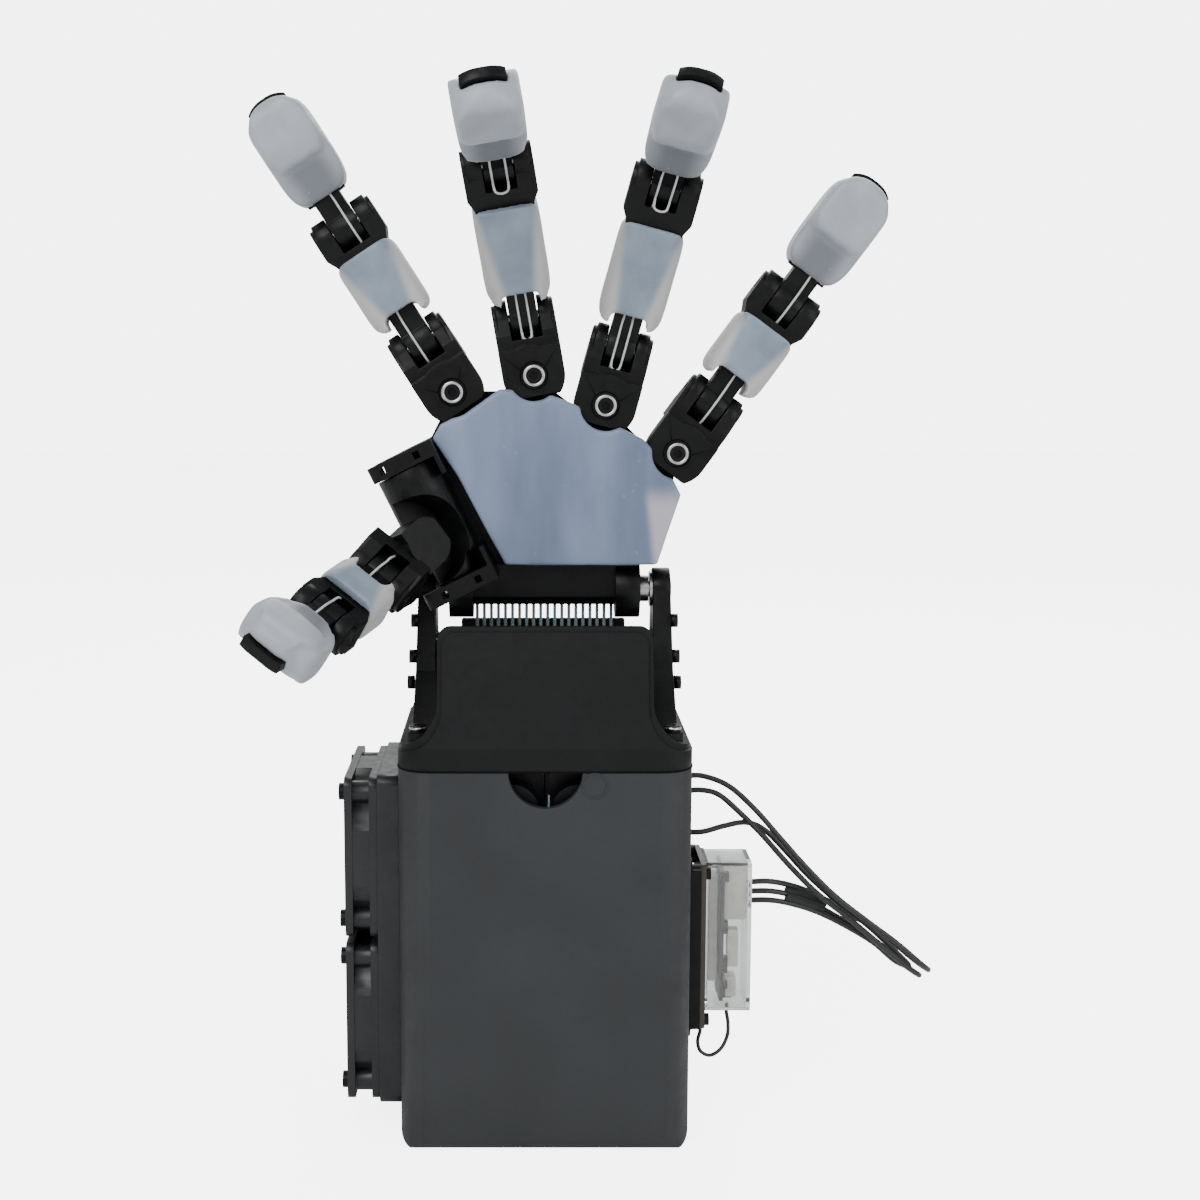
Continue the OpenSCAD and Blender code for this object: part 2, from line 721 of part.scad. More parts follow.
module palm_frame() {
    color(black) on_wrist() difference() {
        union() {
            wrist_block();
            along_y(plate_front, plate_back) {
                polygon(plate_edge);
                for (p = finger_base) translate(p) circle(eye_r);
            }
            difference() {
                along_y(front_y, plate_front) skin_outline(0.8, foot_gap_r);
                cradle_space(-body_d, plate_front);
            }
            for (p = finger_base) translate([p.x, 0, p.y]) bar_y(post_r, bearing_y, plate_front + 1);
        }
        bar_x(shaft_r, 2 * body_w);
        on_rotor_axis() {
            translate([0, 0, rotor_low - cradle_play])
                cylinder(r = rotor_r + swing_play, h = rotor_high - rotor_low + 2 * cradle_play);
            translate([0, 0, cradle_low - 1]) cylinder(r = trunnion_r + 0.3, h = cradle_t + 2);
        }
        for (p = finger_base) translate([p.x, 0, p.y]) bar_y(bolt_r, bearing_y - 1, bearing_y + bolt_len);
    }
}

bolt_len = 12;

module palm_skin() {
    color(silicone) on_wrist() difference() {
        union() {
            along_y(front_y - skin_t + 0.8, front_y) skin_outline(0, scallop_r);
            along_y(front_y - skin_t, front_y - skin_t + 0.8) skin_outline(0.8, scallop_r + 0.8);
        }
        cradle_space(-body_d, 0);
    }
}

module palm_back_cover() {
    color(black) on_wrist() difference() {
        along_y(plate_back, plate_back + cover_t) difference() {
            polygon([
                [-24, 12], [24, 12], [36, 32], [37, 40], [18, 51], [-3, 60], [-27, 55], [-34, 44], [-30, 24]
            ]);
            for (x = [-18:6:18]) translate([x, 16]) square([3, 12], center = true);
        }
        for (p = [[-20, 48], [-2, 54], [30, 36], [-22, 18], [22, 18]])
            translate([p.x, 0, p.y]) bar_y(1.3, plate_back - 1, plate_back + cover_t + 1);
    }
}

module wrist_shaft() {
    color(steel) on_wrist() {
        bar_x(shaft_r, 2 * (cheek_in + cheek_t) + 1);
        for (s = [-1, 1]) translate([s * (arm_span / 2 + 1.4), 0, 0]) difference() {
            bar_x(shaft_r + 1.6, 2.8);
            bar_x(shaft_r - 0.2, 4);
        }
    }
}

module swing_bolts() {
    color(steel) on_wrist() for (p = finger_base) translate([p.x, bearing_y, p.y]) rotate([90, 0, 0])
        socket_screw(bolt_r, bolt_len, bolt_head_r, bolt_head_h);
}

module swing_bearings() {
    color(steel) on_wrist() for (p = finger_base) translate([p.x, 0, p.y]) difference() {
        bar_y(bearing_r, bearing_y, bearing_y + bearing_w);
        bar_y(post_r, bearing_y - 1, bearing_y + bearing_w + 1);
    }
}

// ---------- thumb base ----------

// Bearing plate of the cradle between z0 and z0 + cradle_t on the rotor axis, with slots for the lines
module cradle_end(z0, reach) {
    translate([0, 0, z0]) difference() {
        linear_extrude(cradle_t) difference() {
            union() {
                circle(rotor_r - 1.5);
                translate([0, -rotor_r]) square([cradle_reach, rotor_r + plate_front - thumb_base.y]);
                translate([-reach + 2, -rotor_r]) square([reach - 2, 4]);
                translate([-reach + 2, -rotor_r + 2]) circle(2);
            }
            circle(trunnion_r + run);
        }
        for (x = [-5.6, 5.4]) translate([x - 1, -2 * rotor_r, (cradle_t - line_slot) / 2])
            cube([2, 4 * rotor_r, line_slot]);
    }
}

module thumb_cradle() {
    spine_t = 1.2;
    color(black) on_wrist() difference() {
        on_rotor_axis() {
            cradle_end(cradle_low, 12);
            cradle_end(cradle_high - cradle_t, 10);
            translate([0, plate_front - thumb_base.y - spine_t, cradle_low])
                cube([cradle_reach, spine_t, cradle_high - cradle_low]);
            for (z = [cradle_low + cradle_t + 3, cradle_high - cradle_t - 3])
                translate([cradle_reach - 1.2, -rotor_r, z - 3])
                cube([1.2, 2 * rotor_r, 6]);
        }
        wrist_block();
    }
}

thumb_w = 20.5;
thumb_tip_w = 24;
thumb_tip_len = 36;
thumb_swing_cut = 14.4;
thumb_foot_r = 7.5;
rotor_step = -8.3;
rotor_low_r = 6.8;
arm_back = 6.5;
arm_eye_r = 5.6;
thumb_post_r = 4;

module thumb_turn_frame() {
    on_wrist() on_rotor_axis() rotate([0, 0, thumb_turn]) rotate([0, -90, 0]) children();
}

module thumb_rotor() {
    mid_x = (rotor_low + rotor_high) / 2;
    color(black) thumb_turn_frame() {
        difference() {
            union() {
                translate([(rotor_step + rotor_high) / 2, 0, 0]) bar_x(rotor_r, rotor_high - rotor_step);
                translate([(rotor_low + rotor_step) / 2, 0, 0]) bar_x(rotor_low_r, rotor_step - rotor_low);
                for (s = [-1, 1])
                    translate([mid_x + s * (rotor_high - rotor_low + cradle_t + cradle_play) / 2, 0, 0])
                        bar_x(trunnion_r, cradle_t + cradle_play);
            }
            translate([0, 0, thumb_arm]) bar_y(thumb_swing_cut, -2 * rotor_r, plate_front);
        }
        along_y(plate_front, arm_back) {
            translate([0, thumb_arm]) circle(arm_eye_r);
            translate([-arm_eye_r, 0]) square([2 * arm_eye_r, thumb_arm]);
        }
        translate([0, 0, thumb_arm]) bar_y(thumb_post_r, -6, plate_front + 1);
    }
}

// ---------- finger pieces, each in the frame of its own joint ----------

groove_drop = 9.5;
foot_drop = 6.4;
back_low = 7.3;
slot_drop = ear_r + 0.6;
core_t = 11;
neck_t = 9;
sleeve_w = 20;
sleeve_d = 17;
lobe_low = 8;
arch_low = 11.5;
cap_low = 10.5;
thumb_cap_low = 9.5;
nail_w = 13;
nail_t = 3.2;
nail_r = 9;

// Side view of a knuckle's fork: straight below, round at the ears
module fork_side(len, r) {
    translate([0, len]) circle(r);
    polygon([
        [-7, len - groove_drop], [0, len - groove_drop], [disc_back, back_low], [8, back_low], [8, len - 5],
        [r, len], [-r, len], [-7, len - 5]
    ]);
}

// Link between the swing bolt and the first flexion pin; its slot takes the next link's tongue.
// The fork is turned by twist about the link's own axis.
module knuckle(w, len, foot_r, twist = 0) {
    step = 1.2;
    difference() {
        union() {
            along_y(-half_t, disc_back) {
                difference() {
                    circle(foot_r);
                    translate([-finger_w, -foot_drop - finger_w]) square([2 * finger_w, finger_w]);
                }
                translate([-foot_r, 0]) square([2 * foot_r, len - groove_drop]);
            }
            rotate([0, 0, twist]) {
                along_x(-w / 2 + step, w / 2 - step) fork_side(len, ear_r);
                along_x(-w / 2, w / 2) fork_side(len, ear_r - step);
            }
        }
        rotate([0, 0, twist]) {
            translate([-slot_w / 2, -finger_t, len - slot_drop]) cube([slot_w, 2 * finger_t, finger_t]);
            translate([0, 0, len]) bar_x(pin_r + run, 2 * w);
        }
    }
}

module finger_knuckle() {
    color(black) difference() {
        knuckle(finger_w, knuckle_len, finger_w / 2);
        bar_y(bearing_r + run, -finger_t, bearing_y + bearing_w + 0.2);
        bar_y(post_r + 0.3, -finger_t, finger_t);
    }
}

// Front view of a link between two flexion pins: tongue below, tapering out to the upper fork
module link_front(len, gap, w) {
    half = w / 2;
    polygon([for (s = [[1, 0, 1], [-1, 4, -1]], i = [s.y : s.z : s.y + 4 * s.z])
        let (half_profile = [
            [tongue_w / 2, 0], [tongue_w / 2, arch_low], [half - 1.6, len - gap],
            [half, len - gap + 3], [half, len]
        ])
        let (p = half_profile[i])
        [s.x * p.x, p.y]]);
}

module link_core(len, gap, w) {
    along_y(-core_t / 2, core_t / 2) intersection() {
        link_front(len, gap, w);
        translate([-w, arch_low]) square([2 * w, len]);
    }
    along_y(-neck_t / 2, neck_t / 2) translate([-tongue_w / 2, 0]) square([tongue_w, arch_low]);
}

module proximal_link(len, gap, w) {
    color(black) difference() {
        union() {
            bar_x(ear_r, tongue_w);
            link_core(len, gap, w);
            translate([0, 0, len]) bar_x(ear_r, w - 2.4);
            translate([0, 0, len]) bar_x(ear_r - 1.2, w);
        }
        translate([-slot_w / 2, -finger_t, len - slot_drop]) cube([slot_w, 2 * finger_t, finger_t]);
        bar_x(pin_r, w);
        translate([0, 0, len]) bar_x(pin_r, 2 * w);
    }
}

module sleeve(len, gap, w, core_w) {
    color(silicone) difference() {
        translate([0, 0, lobe_low]) linear_extrude(len - gap - lobe_low) round_rect(w, sleeve_d, 5);
        link_core(len, gap, core_w);
        along_y(-finger_t, finger_t) {
            translate([-w / 2 + 4.2, 0]) square([w - 8.4, arch_low - 2]);
            translate([-w / 2 + 6.2, 0]) square([w - 12.4, arch_low]);
            for (s = [-1, 1]) translate([s * (w / 2 - 6.2), arch_low - 2]) circle(2);
        }
    }
}

module pins(len, low_w, high_w) {
    color(steel) {
        bar_x(pin_r, low_w - 1);
        translate([0, 0, len]) bar_x(pin_r, high_w - 1);
    }
}

// Core of the last link: a neck below and a flat blade inside the fingertip,
// whose curved top is the nail edge
module distal_core(w, len, low) {
    along_y(-neck_t / 2, neck_t / 2) translate([-tongue_w / 2, 0]) square([tongue_w, low + 3]);
    along_y(-nail_t / 2, nail_t / 2) intersection() {
        round_top(w, low, len, nail_r);
        translate([-nail_w / 2, low]) square([nail_w, len - low]);
    }
}

module distal_link(w, len, low) {
    color(black) difference() {
        union() {
            bar_x(ear_r, tongue_w);
            distal_core(w, len, low);
        }
        bar_x(pin_r + run, 2 * tongue_w);
    }
}

// Upright outline with two round top corners
module round_top(w, low, high, r) {
    translate([-w / 2, low]) square([w, high - low - r]);
    translate([-w / 2 + r, low]) square([w - 2 * r, high - low]);
    for (s = [-1, 1]) translate([s * (w / 2 - r), high - r]) circle(r);
}

// Soft fingertip: a bevelled body with a raised pad on the palm side
module fingertip(w, len, low) {
    top = len - 1.2;
    body_y = -6.5;
    pad_y = -half_t - 0.5;
    pad_low = low + (top - low) * 0.36;
    tip_r = 5;
    color(silicone) difference() {
        union() {
            intersection() {
                along_y(body_y, half_t) round_top(w, low, top - 0.6, 8);
                along_x(-w, w) polygon([
                    [body_y, low], [half_t - 1.5, low], [half_t - 0.5, low + 2], [half_t - 0.5, top - 13],
                    [half_t - 2.5, top - 9], [1.5, top - 2.6], [-1.5, top - 0.6], [body_y, top - 0.6]
                ]);
            }
            intersection() {
                along_y(pad_y, -1) {
                    round_top(w - 1.6, pad_low + 5, top, 8.5);
                    translate([0, pad_low + 6]) intersection() {
                        circle(w / 2 - 0.8);
                        translate([-w / 2, -6]) square([w, w]);
                    }
                }
                along_x(-w, w) {
                    translate([pad_y + tip_r, top - tip_r]) circle(tip_r);
                    polygon([
                        [body_y, pad_low - 4], [-1, pad_low - 4], [-1, top - 0.3], [pad_y + tip_r, top],
                        [pad_y, top - tip_r], [pad_y, pad_low + 5], [pad_y + 1, pad_low + 1.5]
                    ]);
                }
            }
        }
        distal_core(w, len, low);
    }
}

// ---------- finger frames ----------

module swing_frame(i) {
    translate([finger_base[i].x, 0, wrist_z + finger_base[i].y]) rotate([0, splay[i], 0]) children();
}
module first_frame(i) {
    swing_frame(i) translate([0, 0, knuckle_len]) rotate([curl_first[i], 0, 0]) children();
}
module second_frame(i) {
    first_frame(i) translate([0, 0, finger_len[i]]) rotate([curl_second[i], 0, 0]) children();
}
module thumb_swing_frame() {
    thumb_turn_frame() translate([0, 0, thumb_arm]) rotate([0, thumb_splay, 0]) children();
}
module thumb_first_frame() {
    thumb_swing_frame() translate([0, 0, thumb_knuckle_len])
        rotate([0, 0, thumb_twist]) rotate([thumb_curl_first, 0, 0]) children();
}
module thumb_second_frame() {
    thumb_first_frame() translate([0, 0, thumb_len]) rotate([thumb_curl_second, 0, 0]) children();
}

fork_w = 21;

module knuckle_at(i) { swing_frame(i) finger_knuckle(); }
module proximal_at(i) { first_frame(i) proximal_link(finger_len[i], sleeve_gap[i], fork_w); }
module sleeve_at(i) { first_frame(i) sleeve(finger_len[i], sleeve_gap[i], sleeve_w, fork_w); }
module pins_at(i) { first_frame(i) pins(finger_len[i], finger_w, fork_w); }
module distal_at(i) { second_frame(i) distal_link(tip_w, tip_len, cap_low); }
module tip_at(i) { second_frame(i) fingertip(tip_w, tip_len, cap_low); }

module thumb_knuckle() {
    color(black) thumb_swing_frame() difference() {
        knuckle(thumb_w, thumb_knuckle_len, thumb_foot_r, thumb_twist);
        bar_y(thumb_post_r + run, -6.3, finger_t);
    }
}
module thumb_proximal() { thumb_first_frame() proximal_link(thumb_len, thumb_gap, thumb_w); }
module thumb_sleeve() { thumb_first_frame() sleeve(thumb_len, thumb_gap, thumb_w - 0.4, thumb_w); }
module thumb_pins() { thumb_first_frame() pins(thumb_len, thumb_w, thumb_w); }
module thumb_distal() { thumb_second_frame() distal_link(thumb_tip_w, thumb_tip_len, thumb_cap_low); }
module thumb_tip() { thumb_second_frame() fingertip(thumb_tip_w, thumb_tip_len, thumb_cap_low); }

forearm_housing();
shoulder_cover();
servo_rack();
finger_servos();
servo_spools();
wrist_servo();
wrist_yoke();
wrist_bearings();
tendon_comb();
wrist_tendons();
fan_duct();
fan_frames();
fan_rotor_at(1);  // upper_fan_rotor
fan_rotor_at(0);  // lower_fan_rotor
board_bracket();
circuit_boards();
adapter_case();
case_screws();
bus_lead_upper();
bus_lead_middle();
bus_lead_lower();
link_lead();
palm_frame();
palm_skin();
palm_back_cover();
wrist_shaft();
swing_bolts();
swing_bearings();
thumb_cradle();
thumb_rotor();
thumb_knuckle();
thumb_proximal();
thumb_sleeve();
thumb_pins();
thumb_distal();
thumb_tip();
knuckle_at(0);  // index_knuckle
proximal_at(0);  // index_proximal
sleeve_at(0);  // index_sleeve
pins_at(0);  // index_pins
distal_at(0);  // index_distal
tip_at(0);  // index_tip
knuckle_at(1);  // middle_knuckle
proximal_at(1);  // middle_proximal
sleeve_at(1);  // middle_sleeve
pins_at(1);  // middle_pins
distal_at(1);  // middle_distal
tip_at(1);  // middle_tip
knuckle_at(2);  // ring_knuckle
proximal_at(2);  // ring_proximal
sleeve_at(2);  // ring_sleeve
pins_at(2);  // ring_pins
distal_at(2);  // ring_distal
tip_at(2);  // ring_tip
knuckle_at(3);  // little_knuckle
proximal_at(3);  // little_proximal
sleeve_at(3);  // little_sleeve
pins_at(3);  // little_pins
distal_at(3);  // little_distal
tip_at(3);  // little_tip
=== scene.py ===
"""Dressed model of a tendon-driven robot hand that stands on its forearm tower.

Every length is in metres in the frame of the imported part. A name that ends in _mm holds
millimetres, and mm() and metres() turn them into metres.
"""
import json
import logging
import math
from collections.abc import Callable, Iterable, Sequence
from dataclasses import dataclass, field
from enum import Enum

import bmesh
import bpy
from mathutils import Matrix, Vector, noise


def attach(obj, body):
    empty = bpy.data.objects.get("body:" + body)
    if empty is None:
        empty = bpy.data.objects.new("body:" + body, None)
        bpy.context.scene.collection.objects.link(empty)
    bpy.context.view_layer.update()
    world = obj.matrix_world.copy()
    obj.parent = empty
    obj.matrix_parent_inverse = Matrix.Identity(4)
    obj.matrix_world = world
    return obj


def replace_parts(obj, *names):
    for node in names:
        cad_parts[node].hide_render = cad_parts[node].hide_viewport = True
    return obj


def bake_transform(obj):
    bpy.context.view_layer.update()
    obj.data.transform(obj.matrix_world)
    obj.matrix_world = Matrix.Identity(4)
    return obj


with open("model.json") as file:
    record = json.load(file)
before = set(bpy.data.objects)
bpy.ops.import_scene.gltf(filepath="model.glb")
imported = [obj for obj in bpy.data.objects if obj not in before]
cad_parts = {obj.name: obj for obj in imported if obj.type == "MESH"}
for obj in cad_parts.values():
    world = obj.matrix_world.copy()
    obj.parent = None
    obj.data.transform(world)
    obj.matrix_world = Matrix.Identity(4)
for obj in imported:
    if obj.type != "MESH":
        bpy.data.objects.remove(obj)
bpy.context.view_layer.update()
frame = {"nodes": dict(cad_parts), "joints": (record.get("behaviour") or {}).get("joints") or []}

LOG = logging.getLogger("robot_hand")
Point = tuple[float, float, float]
Tree = bpy.types.NodeTree
Socket = bpy.types.NodeSocket
Piece = bpy.types.Object


# ---------- units, colours and nodes ----------


def mm(value: float) -> float:
    """Millimetres as metres."""
    return value * 0.001


def metres(point: Sequence[float]) -> Vector:
    """A point in millimetres as a vector in metres."""
    return Vector(point) * 0.001


def linear(hex_colour: str) -> tuple[float, float, float, float]:
    """Turns an sRGB colour into the linear one that shaders use.

    Args:
        hex_colour: six hex digits with a leading #.

    Returns:
        Linear red, green, blue and an alpha of 1.
    """
    parts = [int(hex_colour[i : i + 2], 16) / 255 for i in (1, 3, 5)]
    r, g, b = [c / 12.92 if c <= 0.04045 else ((c + 0.055) / 1.055) ** 2.4 for c in parts]
    return r, g, b, 1.0


def add_node(
    tree: Tree, kind: str, links: dict[str | int, object] | None = None, **settings: object
) -> bpy.types.Node:
    """Adds a node with its settings, its input values and its links.

    Args:
        tree: the shader or geometry tree that takes the node.
        kind: the node's class name.
        links: input name or number to a value, or to the output socket that feeds it.
        settings: the node's own properties.

    Returns:
        The new node.
    """
    node = tree.nodes.new(kind)
    for name, value in settings.items():
        setattr(node, name, value)
    for key, value in (links or {}).items():
        socket = node.inputs[key]
        if isinstance(value, Socket):
            tree.links.new(value, socket)
        else:
            socket.default_value = value
    return node


# ---------- finishes ----------


# The Mix node's share, its two colours and its colour result, by number because the names repeat
MIX_SHARE, MIX_FIRST, MIX_SECOND, MIX_RESULT = 0, 6, 7, 2
# Length after which a wave texture of scale 1 repeats: along an axis, and across a slant
WAVE_STRAIGHT = math.tau / 20
WAVE_SLANTED = math.tau / 10


@dataclass(frozen=True)
class Finish:
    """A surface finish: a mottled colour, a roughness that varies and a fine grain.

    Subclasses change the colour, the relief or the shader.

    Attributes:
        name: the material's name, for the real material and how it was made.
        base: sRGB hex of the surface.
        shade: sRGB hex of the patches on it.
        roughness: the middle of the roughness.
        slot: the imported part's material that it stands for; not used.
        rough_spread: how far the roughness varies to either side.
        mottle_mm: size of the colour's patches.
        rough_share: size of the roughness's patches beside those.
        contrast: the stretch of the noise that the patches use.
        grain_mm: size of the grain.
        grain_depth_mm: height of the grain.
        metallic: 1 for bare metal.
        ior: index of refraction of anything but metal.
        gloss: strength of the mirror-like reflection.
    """

    name: str
    base: str
    shade: str
    roughness: float
    slot: str
    rough_spread: float = 0.08
    mottle_mm: float = 14.0
    rough_share: float = 0.25
    contrast: tuple[float, float] = (0.3, 0.7)
    grain_mm: float = 0.5
    grain_depth_mm: float = 0.02
    metallic: float = 0.0
    ior: float = 1.5
    gloss: float = 0.5

    def millimetres(self, tree: Tree) -> Socket:
        """Object coordinates counted in millimetres."""
        coords = add_node(tree, "ShaderNodeTexCoord")
        return add_node(
            tree, "ShaderNodeMapping", {"Vector": coords.outputs["Object"], "Scale": (1000.0,) * 3}
        ).outputs[0]

    def patches(self, tree: Tree, place: Socket, size_mm: float, low: float, high: float) -> Socket:
        """Soft patches of noise that run from one value to another.

        Args:
            tree: the material's tree.
            place: coordinates in millimetres.
            size_mm: size of the patches.
            low: the value that the lowest noise gives.
            high: the value that the highest noise gives.

        Returns:
            The value all over the surface.
        """
        start, end = self.contrast
        mottle = add_node(
            tree, "ShaderNodeTexNoise", {"Vector": place, "Scale": 1 / size_mm, "Detail": 3.0}
        )
        return add_node(
            tree, "ShaderNodeMapRange",
            {"Value": mottle.outputs[0], "From Min": start, "From Max": end, "To Min": low, "To Max": high},
        ).outputs[0]

    def colour(self, tree: Tree, place: Socket) -> Socket:
        """The base colour with its patches."""
        share = self.patches(tree, place, self.mottle_mm, 0.0, 1.0)
        return add_node(
            tree, "ShaderNodeMix",
            {MIX_SHARE: share, MIX_FIRST: linear(self.base), MIX_SECOND: linear(self.shade)},
            data_type="RGBA",
        ).outputs[MIX_RESULT]

    def relief(self, tree: Tree, place: Socket) -> Socket:
        """Height of the fine grain, from 0 to 1."""
        return add_node(
            tree, "ShaderNodeTexNoise", {"Vector": place, "Scale": 1 / self.grain_mm, "Detail": 2.0}
        ).outputs[0]

    def tune(self, shader: bpy.types.Node) -> None:
        """Sets what is the same all over the surface on the shader itself.

        Args:
            shader: the material's Principled shader.
        """
        shader.inputs["Metallic"].default_value = self.metallic
        shader.inputs["Specular IOR Level"].default_value = self.gloss
        if not self.metallic:
            shader.inputs["IOR"].default_value = self.ior

    def material(self) -> bpy.types.Material:
        """Builds the material once and gives it back afterwards.

        Returns:
            The material of this finish.
        """
        found = bpy.data.materials.get(self.name)
        if found:
            return found
        made = bpy.data.materials.new(self.name)
        made.use_nodes = True
        tree = made.node_tree
        tree.nodes.clear()
        place = self.millimetres(tree)
        rough = self.patches(
            tree, place, self.mottle_mm * self.rough_share,
            self.roughness - self.rough_spread, self.roughness + self.rough_spread,
        )
        bump = add_node(
            tree, "ShaderNodeBump",
            {"Height": self.relief(tree, place), "Distance": mm(self.grain_depth_mm), "Strength": 1.0},
        )
        shader = add_node(
            tree, "ShaderNodeBsdfPrincipled",
            {"Base Color": self.colour(tree, place), "Roughness": rough, "Normal": bump.outputs[0]},
        )
        self.tune(shader)
        add_node(tree, "ShaderNodeOutputMaterial", {"Surface": shader.outputs[0]})
        made.diffuse_color = linear(self.base)
        return made

    def dress(self, obj: Piece) -> Piece:
        """Puts the finish on every face of a piece.

        Args:
            obj: the piece.

        Returns:
            The same piece.
        """
        obj.data.materials.clear()
        obj.data.materials.append(self.material())
        return obj


@dataclass(frozen=True)
class PrintedPlastic(Finish):
    """Fused-filament print: faint level layer lines over a matt grain.

    Real layers are too fine to show, so their lines are drawn some ten times as coarse.

    Attributes:
        layer_mm: height of a real layer.
        coarser: how many times as coarse the lines are drawn.
        waver: how far the lines stray from level.
        layer_share: height of the lines beside the grain's.
    """

    layer_mm: float = 0.4
    coarser: float = 10.0
    waver: float = 0.6
    layer_share: float = 0.35

    def relief(self, tree: Tree, place: Socket) -> Socket:
        """Layer lines one above the other, with the grain on them.

        Args:
            tree: the material's tree.
            place: coordinates in millimetres.

        Returns:
            The height.
        """
        scale = WAVE_STRAIGHT / (self.layer_mm * self.coarser)
        lines = add_node(
            tree, "ShaderNodeTexWave", {"Vector": place, "Scale": scale, "Distortion": self.waver},
            bands_direction="Z",
        ).outputs["Fac"]
        grain = Finish.relief(self, tree, place)
        scaled = add_node(tree, "ShaderNodeMath", {0: lines, 1: self.layer_share}, operation="MULTIPLY")
        both = add_node(tree, "ShaderNodeMath", {0: grain, 1: scaled.outputs[0]}, operation="ADD")
        return both.outputs[0]


@dataclass(frozen=True)
class CastSilicone(Finish):
    """Translucent casting: darker and bluer over the black core, paler where it hangs free, darker again
    where painted shade is laid.

    Attributes:
        free_and_shade: sRGB hex that the painted share leads to: paler where nothing lies behind it, and on
            the fingertip the painted shade of the recess under the pad.
        edge: sRGB hex of the rims of its bubbles.
        bubble_mm: distance between bubbles.
        bubble_rim: where a bubble's rim starts and ends, as shares of that distance.
        rim_share: how strongly the rims show.
        scatter: share of the light that scatters under the surface.
        scatter_mm: how far it scatters.
        scatter_tint: how far red, green and blue scatter beside that.
        sheen: strength of the dusty shine at grazing angles.
        sheen_roughness: how wide that shine is.
        drawn: stretch of the mottle along z, where less than 1 draws it out as flow marks of the pour.
    """

    free_and_shade: str = "#CFC9C0"
    edge: str = "#D9DADA"
    bubble_mm: float = 2.6
    bubble_rim: tuple[float, float] = (0.02, 0.14)
    rim_share: float = 0.35
    scatter: float = 0.35
    scatter_mm: float = 1.6
    scatter_tint: Point = (1.0, 0.9, 0.8)
    sheen: float = 0.25
    sheen_roughness: float = 0.4
    drawn: float = 1.0

    def colour(self, tree: Tree, place: Socket) -> Socket:
        """Mixes the colour over the core with the second colour by the painted attribute: paler where it
        hangs free, painted shade in the fingertip's recess.

        Args:
            tree: the material's tree.
            place: coordinates in millimetres.

        Returns:
            The colour, with the bubbles' rims on it.
        """
        flow = add_node(tree, "ShaderNodeMapping", {"Vector": place, "Scale": (1.0, 1.0, self.drawn)})
        mottled = Finish.colour(self, tree, flow.outputs[0])
        # The painted share: how far the casting hangs free, and on the fingertip how deep the painted shade
        # of the recess lies
        painted = add_node(tree, "ShaderNodeAttribute", attribute_name="hang")
        free = add_node(
            tree, "ShaderNodeMix",
            {MIX_SHARE: painted.outputs["Fac"], MIX_FIRST: mottled, MIX_SECOND: linear(self.free_and_shade)},
            data_type="RGBA",
        ).outputs[MIX_RESULT]
        bubbles = add_node(tree, "ShaderNodeTexVoronoi", {"Vector": place, "Scale": 1 / self.bubble_mm})
        start, end = self.bubble_rim
        rims = add_node(
            tree, "ShaderNodeMapRange",
            {"Value": bubbles.outputs["Distance"], "From Min": start, "From Max": end,
             "To Min": self.rim_share, "To Max": 0.0},
        ).outputs[0]
        return add_node(
            tree, "ShaderNodeMix", {MIX_SHARE: rims, MIX_FIRST: free, MIX_SECOND: linear(self.edge)},
            data_type="RGBA",
        ).outputs[MIX_RESULT]

    def tune(self, shader: bpy.types.Node) -> None:
        """Adds the scatter under the surface and the dusty shine.

        Args:
            shader: the material's Principled shader.
        """
        Finish.tune(self, shader)
        shader.inputs["Subsurface Weight"].default_value = self.scatter
        shader.inputs["Subsurface Radius"].default_value = self.scatter_tint
        shader.inputs["Subsurface Scale"].default_value = mm(self.scatter_mm)
        shader.inputs["Sheen Weight"].default_value = self.sheen
        shader.inputs["Sheen Roughness"].default_value = self.sheen_roughness


@dataclass(frozen=True)
class TurnedMetal(Finish):
    """Machined metal: fine tool marks, drawn out along x.

    Attributes:
        mark_mm: width of a tool mark.
        drawn: a mark's width beside its length.
    """

    mark_mm: float = 0.25
    drawn: float = 0.15
    metallic: float = 1.0

    def relief(self, tree: Tree, place: Socket) -> Socket:
        """Noise drawn out into long marks."""
        marks = add_node(tree, "ShaderNodeMapping", {"Vector": place, "Scale": (self.drawn, 1.0, 1.0)})
        return add_node(
            tree, "ShaderNodeTexNoise",
            {"Vector": marks.outputs[0], "Scale": 1 / self.mark_mm, "Detail": 1.0},
        ).outputs[0]


@dataclass(frozen=True)
class ClearPlastic(Finish):
    """Injection-moulded clear plastic, faintly hazy.

    Attributes:
        clear: share of the light that passes through.
    """

    clear: float = 0.97

    def tune(self, shader: bpy.types.Node) -> None:
        """Lets the light through."""
        Finish.tune(self, shader)
        shader.inputs["Transmission Weight"].default_value = self.clear


@dataclass(frozen=True)
class BraidedLine(Finish):
    """Braided line or woven tape: a slanting weave, drawn a little coarser than the real one.

    Attributes:
        weave_mm: distance from one ridge of the weave to the next along an axis.
        waver: how far the ridges stray.
    """

    weave_mm: float = 1.2566
    waver: float = 1.0

    def relief(self, tree: Tree, place: Socket) -> Socket:
        """Ridges of the weave."""
        return add_node(
            tree, "ShaderNodeTexWave",
            {"Vector": place, "Scale": WAVE_SLANTED / self.weave_mm, "Distortion": self.waver},
            bands_direction="DIAGONAL",
        ).outputs["Fac"]


# Printed nylon, dyed black like the shoulder's, drawn as matt charcoal: this lighter colour is painted
# light on the big flat faces
TOWER_PRINT = PrintedPlastic(
    "dyed_nylon_print_charcoal", "#222426", "#282A2C", 0.6, "printed_black", mottle_mm=30.0, gloss=0.3
)
